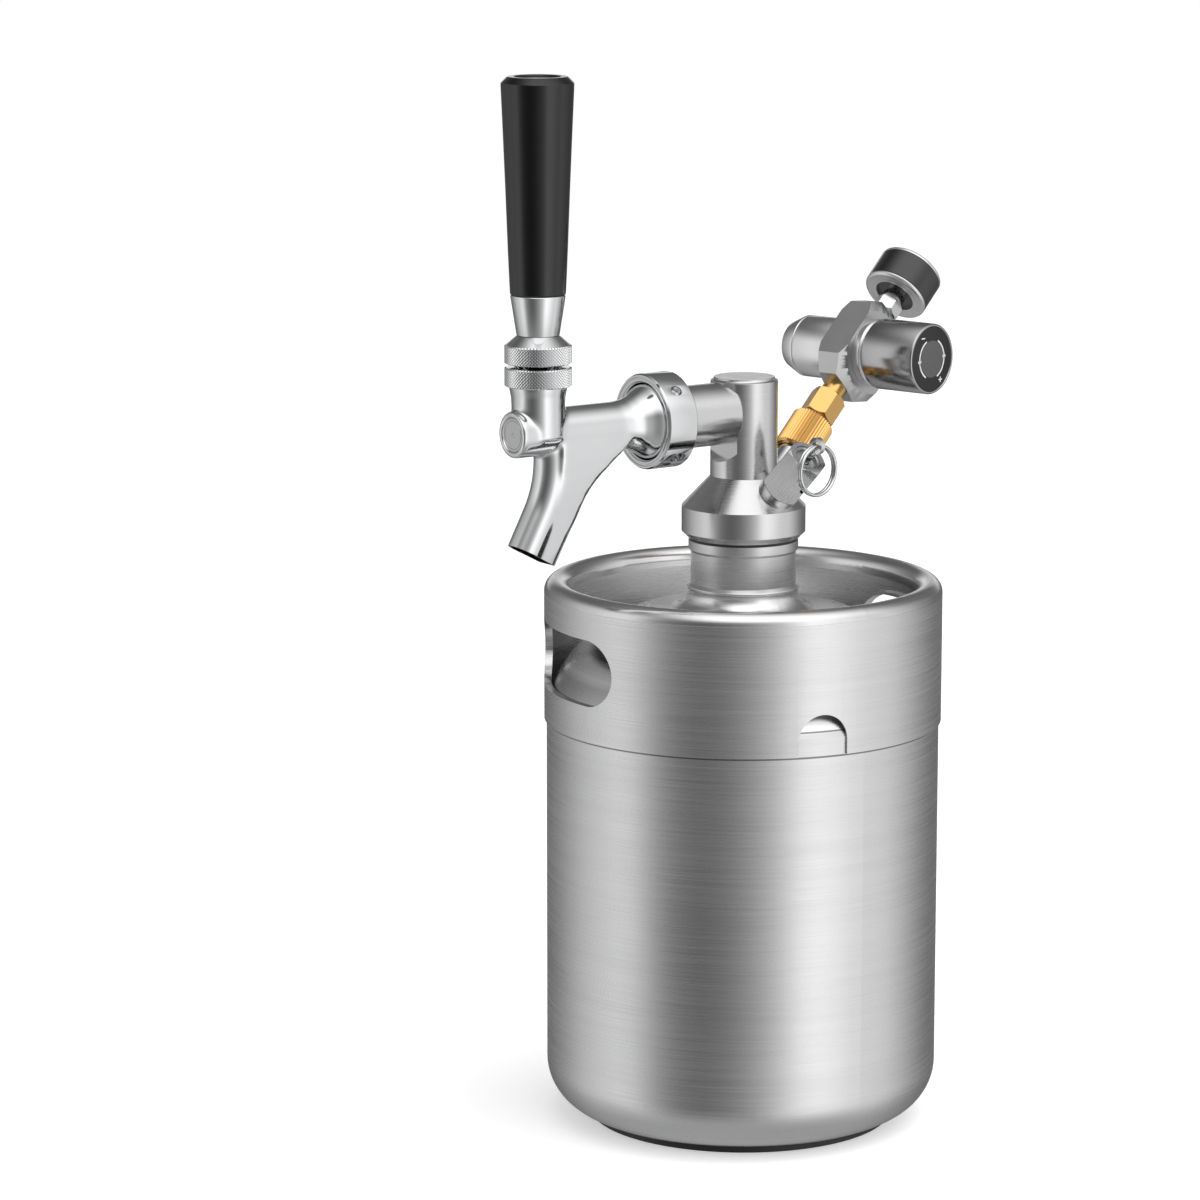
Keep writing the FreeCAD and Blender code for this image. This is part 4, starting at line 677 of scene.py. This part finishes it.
def knurl(piece, radius, low, high, columns, rise, depth, straight=False):
    """Raise every second crossing of the grid on a turned wall into a tooth."""
    edit(piece)

    def tooth(middle, vertex):
        reach = math.hypot(middle.x, middle.y) / MM
        if abs(reach - radius) > 0.01 or not low - 0.01 < middle.z / MM < high + 0.01:
            return False
        column = round(math.atan2(middle.y, middle.x) / math.tau * columns)
        row = 0 if straight else round((middle.z / MM - low) / rise)
        return (column + row) % 2 == 0

    pick(piece, "VERT", tooth)
    scale = 1.0 + depth / radius
    bpy.ops.transform.resize(value=(scale, scale, 1.0), center_override=(0, 0, 0))
    if not straight:
        reach = (radius + depth / 2) * MM
        pick(piece, "FACE", lambda m, f: abs(math.hypot(m.x, m.y) - reach) < 0.0002
             and low * MM < m.z < high * MM)
        bpy.ops.mesh.quads_convert_to_tris(quad_method="SHORTEST_DIAGONAL")
        bpy.ops.mesh.select_mode(type="VERT")
    bpy.ops.object.mode_set(mode="OBJECT")


def climb(radius, low, high, rows):
    """Outline points up a wall that will be knurled."""
    return [(radius, low + (high - low) * row / rows) for row in range(rows + 1)]


def cutter(piece, tool):
    """Cut a tool's shape out of a piece and throw the tool away."""
    modify(piece, "BOOLEAN", operation="DIFFERENCE", object=tool, solver="EXACT")
    bpy.data.objects.remove(tool)


# %% [markdown]
# ## Knurled rings of the lever
# Two rings hold the lever: the lower one screws down on the ball, the upper one locks
# the handle. A knurl is pressed in by two ribbed wheels, which leaves rows of small
# pyramids. It could be a bump, but it shows on the outline too, so it is real: the
# wall is turned as a fine grid, every second crossing is pushed out, and each square
# is then split along its valley, which leaves four flanks round each point.

# %% Knurled rings
KNURL_STEPS = 124
KNURL_ROWS = 10
KNURL_DEPTH = 0.6


def make_lever_rings():
    low, high, radius = 19.9, 26.8, 13.4
    ring = lathe("knurled_bonnet", [
        (10.95, 19.4), (13.3, 19.4), *climb(radius, low, high, KNURL_ROWS), (13.2, 27.3),
        (9.9, 27.3), (7.1, 22.9), (10.95, 22.9)], KNURL_STEPS)
    knurl(ring, radius, low, high, KNURL_STEPS, (high - low) / KNURL_ROWS, KNURL_DEPTH)
    adopt(ring, "lever_bonnet", chrome, LEVER, 20.0)
    low, high = 29.3, 36.0
    ring = lathe("knurled_nut", [
        (4.05, 32.8), (12.7, 32.8), (12.7, 28.8), (13.3, 28.8),
        *climb(radius, low, high, KNURL_ROWS), (13.3, 36.5), (8.9, 40.3), (4.05, 40.3)],
        KNURL_STEPS)
    knurl(ring, radius, low, high, KNURL_STEPS, (high - low) / KNURL_ROWS, KNURL_DEPTH)
    adopt(ring, "lever_nut", chrome, LEVER, 20.0)


make_lever_rings()

# %% [markdown]
# ## Handle and ferrule
# The handle is moulded black plastic, polished, with its edge rounded over. The
# ferrule below it is a plated cone. Both are turned outlines with a bevel.

# %% Handle and ferrule
def make_handle():
    grip = lathe("handle", [
        (0, 57.0), (11.1, 57.0), (11.5, 57.6), (12.3, 76.0), (13.2, 100.0), (14.15, 123.0),
        (14.95, 141.0), (15.0, 143.4), (12.4, 146.0), (9.8, 146.0), (9.0, 145.2),
        (0, 145.2)], 128, False)
    soften(grip, 1.6, 6, 20.0)
    adopt(grip, "handle_grip", handle_black, LEVER, 40.0)
    ferrule = lathe("ferrule", [
        (4.8, 40.32), (8.7, 40.32), (8.9, 40.8), (11.35, 56.4), (11.2, 56.98),
        (4.8, 56.98)], 128)
    soften(ferrule, 0.25, 2, 20.0)
    adopt(ferrule, "handle_ferrule", chrome, LEVER)


make_handle()

# %% [markdown]
# ## Coupling ring
# The ring that pulls the faucet onto the shank is turned and plated. Four round
# holes take a spanner's peg. The holes are cut with a Boolean, so that they have
# walls, and all edges are then broken with a bevel.

# %% Coupling ring
PEG_RADIUS, PEG_DEPTH = 0.0025, 0.004
PEG_REACH, PEG_HEIGHT = 0.0189, 0.0458


def make_coupling():
    ring = lathe("coupling", [
        (13.5, 38.3), (19.2, 38.3), (20.1, 39.2), (20.1, 52.5), (19.5, 53.3),
        (18.8, 53.3), (18.5, 52.7), (18.0, 52.7), (17.8, 53.2), (17.1, 53.2),
        (16.3, 52.2), (16.3, 41.7), (13.5, 41.7)], 160)
    for turn in range(4):
        deselect()
        angle = math.radians(45 + 90 * turn)
        middle = Vector((math.cos(angle), math.sin(angle), 0)) * PEG_REACH
        bpy.ops.mesh.primitive_cylinder_add(
            vertices=40, radius=PEG_RADIUS, depth=PEG_DEPTH,
            location=middle + Vector((0, 0, PEG_HEIGHT)), rotation=(0, math.pi / 2, angle))
        cutter(ring, bpy.context.object)
    soften(ring, 0.2, 3, 30.0)
    adopt(ring, "coupling_ring", chrome, FAUCET, 30.0)


make_coupling()

# %% [markdown]
# ## Union nut
# The brass nut is tightened by hand, so its grip is a row of straight ribs. Every
# second column of a finely divided wall is pushed out.

# %% Union nut
RIBS = 44
RIB_FOOT, RIB_HEIGHT = 9.0, 0.5


def make_union_nut():
    nut = lathe("union_nut", [
        (6.95, 44.5), (8.5, 44.5), (RIB_FOOT, 45.2), (RIB_FOOT, 45.5), (RIB_FOOT, 62.5),
        (RIB_FOOT, 62.8), (8.5, 63.5), (5.55, 63.5), (5.55, 59.4), (6.95, 59.4)], RIBS * 2)
    knurl(nut, RIB_FOOT, 45.45, 62.55, RIBS * 2, 1.0, RIB_HEIGHT, straight=True)
    adopt(nut, "swivel_nut", brass, GAS, 20.0)


make_union_nut()

# %% [markdown]
# ## Cast faucet body
# The faucet is one casting: barrel, collar, bent spout and the web between them run
# into each other with round fillets, and polishing softens every edge further. Solids
# joined edge to edge would show hard lines. So the rough forms are joined, remeshed
# to one even skin, bored, and smoothed until the corners fill. The machined ends are
# then sawn off flat and the spout is bored, as on the real casting.

# %% Faucet casting
VOXEL = 0.0005
SPOUT_BEND = math.atan(13.6 / 25.4)
SPOUT_WAY = Vector((0, -math.cos(SPOUT_BEND), math.sin(SPOUT_BEND)))
SPOUT_CORNER = Vector((0, -0.024, 0.099))
SPOUT_MOUTH = Vector((0, -0.0494, 0.1126))
SPOUT_RADIUS, SPOUT_WALL, SPOUT_BORE_DEPTH = 7.6, 1.25, 14.0
SPOUT_SPARE = 0.004
BELL_END, COLLAR_END = 0.046, 0.0226
SPOUT_START = 0.001
BEND_RUN = 0.012


def rough_spout():
    deselect()
    bpy.ops.mesh.primitive_circle_add(vertices=48, radius=SPOUT_RADIUS * MM,
                                      fill_type="NGON",
                                      location=(0, -SPOUT_START, SPOUT_CORNER.z),
                                      rotation=(math.pi / 2, 0, 0))
    bar = bpy.context.object
    bpy.ops.object.mode_set(mode="EDIT")
    bpy.ops.mesh.select_all(action="SELECT")
    drop = SPOUT_CORNER.y + BEND_RUN + SPOUT_START
    bpy.ops.mesh.extrude_region_move(TRANSFORM_OT_translate={"value": (0, drop, 0)})
    turn_radius = BEND_RUN / math.tan(SPOUT_BEND / 2)
    centre = Vector((0, SPOUT_CORNER.y + BEND_RUN, SPOUT_CORNER.z + turn_radius))
    bpy.ops.mesh.spin(steps=10, angle=SPOUT_BEND, center=centre, axis=(1, 0, 0))
    run = (SPOUT_MOUTH - SPOUT_CORNER).length - BEND_RUN + SPOUT_SPARE
    bpy.ops.mesh.extrude_region_move(TRANSFORM_OT_translate={"value": SPOUT_WAY * run})
    close_up(bar)
    return bar


def rough_wing(rows):
    """Loft a web downwards: height, back edge, front edge, half width there and back."""
    deselect()
    middle, size = Vector((0, 0, 0)), Vector((1.0, 1.0, 1.0))
    bpy.ops.mesh.primitive_plane_add(size=1.0, rotation=(math.pi / 2, 0, 0))
    wing = bpy.context.object
    bpy.ops.object.transform_apply(location=True, rotation=True, scale=True)
    bpy.ops.object.mode_set(mode="EDIT")
    bpy.ops.mesh.select_all(action="SELECT")
    for index, (height, back, front, half, _) in enumerate(rows):
        there = Vector((0, height, (back + front) / 2)) * MM
        grown = Vector((half * 2, 1.0, front - back)) * MM
        if index:
            bpy.ops.mesh.extrude_region_move(
                TRANSFORM_OT_translate={"value": there - middle})
        else:
            bpy.ops.transform.translate(value=there - middle)
        bpy.ops.transform.resize(value=(grown.x / size.x, 1.0, grown.z / size.z),
                                 center_override=there)
        middle, size = there, grown
    for height, back, front, half, rear in rows:
        split = (back + front) / 2 * MM
        pick(wing, "VERT", lambda m, v: abs(m.y - height * MM) < 1e-5 and m.z < split)
        bpy.ops.transform.resize(value=(rear / half, 1.0, 1.0), center_override=(0, 0, 0))
    close_up(wing)
    return wing


def join(pieces):
    deselect()
    for piece in pieces:
        piece.select_set(True)
    bpy.context.view_layer.objects.active = pieces[0]
    bpy.ops.object.join()
    return pieces[0]


def skin(piece):
    modify(piece, "REMESH", mode="VOXEL", voxel_size=VOXEL, adaptivity=0.0)


def saw(piece, point, normal):
    """Cut off what lies beyond a plane and leave a flat face there, selected."""
    edit(piece)
    bpy.ops.mesh.select_all(action="SELECT")
    bpy.ops.mesh.bisect(plane_co=point, plane_no=normal, use_fill=True,
                        clear_outer=True, threshold=0.000001)


def bore_end(piece, point, normal, wall, depth):
    """Saw an end flat and sink a round hole that leaves a wall."""
    saw(piece, point, normal)
    normal = Vector(normal).normalized()
    pick(piece, "FACE", lambda m, f: abs((m - Vector(point)).dot(normal)) < 2e-5
         and abs(f.normal.dot(normal)) > 0.99)
    bpy.ops.mesh.inset(thickness=wall * MM)
    bpy.ops.mesh.extrude_region_move(
        TRANSFORM_OT_translate={"value": -normal * depth * MM})
    bpy.ops.object.mode_set(mode="OBJECT")


def make_casting():
    turned_back = Matrix.Rotation(-math.pi / 2, 4, "X")
    upright = Matrix.Translation((0, 0, LEVER_REACH)) @ turned_back
    barrel = lathe("faucet_casting", [
        (0, 43.0), (16.1, 43.0), (16.1, 51.5), (15.2, 53.2), (13.2, 56.0), (11.4, 59.4),
        (10.2, 63.5), (9.7, 68.0), (9.7, 119.3), (0, 119.3)], 96, False)
    collar = lathe("collar", [(0, -2.0), (11.3, -2.0), (11.0, 10.0), (11.2, 15.0),
                              (12.2, 19.5), (12.2, 26.0), (0, 26.0)], 96, False)
    settle(collar, upright)
    wing = rough_wing([
        (0.0, 60.0, 99.5, 9.4, 9.4), (-8.2, 66.0, 99.5, 9.1, 8.8),
        (-15.0, 74.2, 99.5, 8.6, 8.2), (-21.8, 81.8, 99.5, 8.1, 7.6),
        (-27.7, 86.2, 101.0, 7.7, 7.1), (-35.6, 90.2, 105.2, 7.3, 6.6),
        (-44.6, 95.2, 110.0, 7.1, 6.3), (-60.0, 103.6, 118.2, 7.0, 6.1)])
    body = join([barrel, collar, rough_spout(), wing])
    skin(body)
    bores = lathe("bores", [(0, 30.0), (6.4, 30.0), (6.4, 113.2), (7.0, 113.2),
                            (7.0, 125.0), (0, 125.0)], 64, False)
    well = lathe("well", [(0, 0.0), (7.1, 0.0), (7.1, 12.85), (8.7, 12.85), (8.7, 40.0),
                          (0, 40.0)], 48, False)
    settle(well, upright)
    cutter(body, bores)
    cutter(body, well)
    skin(body)
    modify(body, "SMOOTH", factor=0.5, iterations=40)
    saw(body, (0, 0, BELL_END), (0, 0, -1))
    saw(body, (0, COLLAR_END, 0), (0, 1, 0))
    bore_end(body, SPOUT_MOUTH, SPOUT_WAY, SPOUT_WALL, SPOUT_BORE_DEPTH)
    adopt(body, "faucet_body", chrome, FAUCET, 38.0)
    plug = lathe("faucet_plug_face", [
        (0, 113.5), (6.9, 113.5), (7.05, 113.7), (7.05, 118.0), (6.8, 118.3),
        (6.1, 118.3), (5.9, 118.1), (5.7, 118.3), (1.0, 118.3), (0.5, 118.0),
        (0, 118.0)], 96, False)
    adopt(plug, "faucet_plug", turned_face, FAUCET, 25.0)


make_casting()

# %% [markdown]
# ## Broken edges on machined pieces
# No machined edge is a perfect corner: it is filed or tumbled, and the narrow band
# catches light. Pieces with flats, ports and cross holes are already right as solids.
# For these a copy of the solid's own mesh is merged, its flat facets are joined, and
# only the sharp edges get a bevel.

# %% Broken edges
def break_edges(node, name, material, width, segments=2, sharp=30.0):
    """Bevel the sharp edges of a merged copy of a solid's mesh."""
    solid = frame["nodes"][node]
    deselect()
    piece = solid.copy()
    piece.data = solid.data.copy()
    piece.name = name
    for key in list(piece.keys()):
        del piece[key]
    bpy.context.scene.collection.objects.link(piece)
    edit(piece)
    bpy.ops.mesh.select_all(action="SELECT")
    bpy.ops.mesh.remove_doubles(threshold=MERGE)
    bpy.ops.mesh.dissolve_limited(angle_limit=math.radians(0.6))
    bpy.ops.mesh.select_all(action="DESELECT")
    limit = math.radians(sharp)
    pick(piece, "EDGE", lambda m, e: e.is_manifold and e.calc_face_angle(0.0) > limit)
    bpy.ops.mesh.bevel(offset=width * MM, segments=segments, affect="EDGES",
                       clamp_overlap=True)
    bpy.ops.mesh.select_mode(type="VERT")
    bpy.ops.object.mode_set(mode="OBJECT")
    smooth(piece, 32.0)
    modify(piece, "WEIGHTED_NORMAL", keep_sharp=True, weight=100)
    adopt(piece, node, material, UPRIGHT, None)


break_edges("regulator_block", "block", block_satin, 0.45, 3)
break_edges("relief_body", "relief_hex", relief_steel, 0.22)
break_edges("outlet_adapter", "adapter", brass, 0.2)
break_edges("gauge_stem", "stem_hex", chrome_gas, 0.2)
break_edges("riser_tower", "tower", turned_head, 0.35, 3)
break_edges("head_cap", "cap", turned_head, 0.3, 3)
break_edges("bonnet_collar", "collar_ring", socket_satin, 0.25, 3)
break_edges("top_skirt", "skirt", brushed_keg, 0.45, 3, 40.0)

# %% [markdown]
# ## Knob and its label
# The knob is a plated cup that turns the adjusting screw. A printed disc is let into
# its end: a dark ring, a paler middle, and two curved arrows for less and more
# pressure. The print is made as thin raised pieces, each a short turn of a flat
# outline, so that it stays sharp from any distance.

# %% Knob and label
PRINT_LOW, PRINT_HIGH = 39.5, 39.62
ARROW_IN, ARROW_OUT, ARROW_HEAD = 8.3, 9.0, 1.5
SIGN_REACH, SIGN_LENGTH, SIGN_WIDTH = 11.3, 2.4, 0.5
UPWARDS = BLOCK.inverted().to_3x3() @ Vector((0, 0, 1))
UP_TURN = math.atan2(UPWARDS.y, UPWARDS.x)


def make_arrow(index, start, sweep):
    """A curved stroke with a head at its far end, and its sign outside it."""
    stroke = lathe(f"arrow_{index}", [(ARROW_IN, PRINT_LOW), (ARROW_OUT, PRINT_LOW),
                                      (ARROW_OUT, PRINT_HIGH), (ARROW_IN, PRINT_HIGH)],
                   24, True, sweep)
    tip = math.radians(sweep)
    reach = (ARROW_IN + ARROW_OUT) / 2
    middle = Vector((math.cos(tip), math.sin(tip), 0)) * reach * MM
    middle.z = (PRINT_LOW + PRINT_HIGH) / 2 * MM
    deselect()
    bpy.ops.mesh.primitive_cylinder_add(vertices=3, radius=ARROW_HEAD * MM, location=middle,
                                        depth=(PRINT_HIGH - PRINT_LOW) * MM,
                                        rotation=(0, 0, tip))
    parts = [stroke, bpy.context.object]
    half = tip / 2
    for turn in range(index + 1):
        deselect()
        centre = Vector((math.cos(half), math.sin(half), 0)) * SIGN_REACH * MM
        centre.z = middle.z
        bpy.ops.mesh.primitive_cube_add(size=MM, location=centre,
                                        rotation=(0, 0, UP_TURN - math.radians(start)
                                                  + turn * math.pi / 2))
        bpy.ops.transform.resize(value=(SIGN_WIDTH, SIGN_LENGTH, PRINT_HIGH - PRINT_LOW),
                                 orient_type="LOCAL")
        parts.append(bpy.context.object)
    arrow = join(parts)
    arrow.matrix_world = Matrix.Rotation(math.radians(start), 4, "Z") @ arrow.matrix_world
    attach(arrow, "knob_label", label_white, BLOCK)


def make_knob():
    knob = lathe("knob", [
        (0, 36.5), (4.1, 36.5), (4.1, 30.2), (6.4, 30.2), (6.4, 36.2), (13.1, 36.2),
        (13.1, 12.6), (14.8, 12.6), (15.3, 13.1), (15.3, 39.0), (15.0, 39.6),
        (14.6, 39.8), (14.2, 39.75), (14.0, 39.3), (0, 39.3)], 128, False)
    soften(knob, 0.12, 2, 30.0)
    adopt(knob, "adjust_knob", knob_chrome, BLOCK)
    disc = lathe("label_disc", [(0, 39.31), (13.9, 39.31), (13.95, 39.45),
                                (13.8, 39.55), (0, 39.55)], 128, False)
    adopt(disc, "knob_label", label_black, BLOCK)
    centre = lathe("label_middle", [(0, 39.5), (8.0, 39.5), (8.0, 39.58), (7.9, 39.6),
                                    (0, 39.6)], 96, False)
    attach(centre, "knob_label", label_grey, BLOCK)
    make_arrow(0, 110.0, 125.0)
    make_arrow(1, -70.0, 125.0)


make_knob()

# %% [markdown]
# ## Cartridge socket
# The gas cartridge screws into this turned sleeve. Its mouth is coned, a fine groove
# runs round it, and its thread is a row of fine rings in the bore.

# %% Cartridge socket
THREAD_RADIUS, THREAD_DEPTH, THREAD_STEP, THREAD_POINTS = 4.3, 0.28, 0.45, 22


def make_socket():
    thread = [(THREAD_RADIUS + THREAD_DEPTH * (step % 2), -34.0 + THREAD_STEP * step)
              for step in range(THREAD_POINTS)]
    sleeve = lathe("socket", [
        (5.8, -4.5), (9.0, -4.5), (9.0, -7.5), (13.2, -7.5), (13.5, -7.8), (13.5, -26.3),
        (13.25, -26.5), (13.25, -26.9), (13.5, -27.1), (13.5, -28.0), (10.5, -34.4),
        (10.2, -35.0), (9.3, -35.0), (9.0, -34.6), (5.4, -34.6), (4.9, -34.8),
        *thread, (4.3, -24.0), (5.8, -24.0)], 112)
    soften(sleeve, 0.1, 2, 35.0)
    adopt(sleeve, "cartridge_socket", socket_satin, BLOCK, 30.0)


make_socket()

# %% [markdown]
# ## Pressure gauge
# A Bourdon gauge: a black drawn case, a pale ring that closes its back, a thin bezel
# that holds the crowned glass, and a printed dial. The dial's marks are small bars
# set round the scale and its numbers are text turned into a mesh. The pointer is the
# solid's own, because it moves.

# %% Pressure gauge
DIAL = GAS @ Matrix.Rotation(math.pi / 2, 4, "Z")
SCALE_TOP = 60
SCALE_STEP = 2
SCALE_NUMBERS = 10
SCALE_START, SCALE_SWEEP = 225.0, 270.0
MARK_REACH, NUMBER_REACH, NUMBER_SIZE = 12.3, 8.4, 2.9
LONG_MARK, SHORT_MARK = (2.2, 0.42), (1.3, 0.24)
DIAL_FACE, MARK_RISE, NUMBER_RISE = 147.51, 0.08, 0.03


def dial_angle(value):
    """Angle on the dial at which a value stands."""
    return math.radians(SCALE_START - SCALE_SWEEP * value / SCALE_TOP)


def dial_point(angle, reach):
    return Vector((math.cos(angle) * reach, math.sin(angle) * reach, DIAL_FACE)) * MM


def make_dial_marks():
    marks = []
    for value in range(0, SCALE_TOP + 1, SCALE_STEP):
        length, width = SHORT_MARK if value % SCALE_NUMBERS else LONG_MARK
        angle = dial_angle(value)
        deselect()
        bpy.ops.mesh.primitive_cube_add(size=MM, rotation=(0, 0, angle),
                                        location=dial_point(angle, MARK_REACH - length / 2))
        bpy.ops.transform.resize(value=(length, width, MARK_RISE), orient_type="LOCAL")
        marks.append(bpy.context.object)
    piece = join(marks)
    piece.name = "dial_marks"
    attach(piece, "gauge_dial", ink, DIAL)


def make_dial_numbers():
    numbers = []
    for value in range(0, SCALE_TOP + 1, SCALE_NUMBERS):
        deselect()
        bpy.ops.object.text_add(location=dial_point(dial_angle(value), NUMBER_REACH))
        text = bpy.context.object
        text.data.body = str(value)
        text.data.size, text.data.extrude = NUMBER_SIZE * MM, NUMBER_RISE * MM
        text.data.align_x, text.data.align_y = "CENTER", "CENTER"
        bpy.ops.object.convert(target="MESH")
        numbers.append(bpy.context.object)
    piece = join(numbers)
    piece.name = "dial_numbers"
    attach(piece, "gauge_dial", ink, DIAL, None)


def make_gauge():
    case = lathe("gauge_shell", [
        (5.0, 139.6), (14.2, 139.6), (14.5, 139.9), (14.5, 152.9), (13.5, 152.9),
        (13.5, 140.6), (5.0, 140.6)], 128)
    adopt(case, "gauge_case", case_black, GAS)
    back = lathe("gauge_back", [
        (9.0, 138.2), (9.2, 138.0), (11.0, 138.0), (11.3, 138.15), (11.6, 138.0),
        (13.3, 138.0), (14.1, 138.4), (14.5, 139.1), (14.5, 139.6), (9.0, 139.6)], 128)
    soften(back, 0.1, 2, 25.0)
    adopt(back, "gauge_back_ring", ring_satin, GAS)
    bezel = lathe("gauge_rim", [
        (12.3, 152.95), (14.45, 152.95), (14.55, 153.1), (14.5, 153.9), (14.1, 154.4),
        (13.6, 154.5), (12.6, 154.1), (12.3, 153.8)], 128)
    soften(bezel, 0.08, 2, 25.0)
    adopt(bezel, "gauge_bezel", chrome_gas, GAS)
    glass = lathe("gauge_glass", [
        (0, 151.5), (13.4, 151.5), (13.4, 152.85), (12.2, 152.9), (9.0, 153.4),
        (5.0, 153.7), (0, 153.8)], 96, False)
    adopt(glass, "gauge_lens", lens_clear, GAS, 40.0)
    make_dial_marks()
    make_dial_numbers()


make_gauge()

# %% [markdown]
# ## Relief valve cap
# The plug that holds the relief spring is turned with a hollow in its top, and the
# pin comes up through its middle.

# %% Relief valve cap
def make_relief_cap():
    cap = lathe("relief_plug", [
        (2.2, 50.2), (6.1, 50.2), (6.2, 50.4), (6.2, 52.9), (6.0, 53.1), (5.3, 53.1),
        (4.9, 52.7), (4.5, 51.0), (2.2, 51.0)], 72)
    adopt(cap, "relief_cap", relief_steel, RELIEF, 28.0)


make_relief_cap()
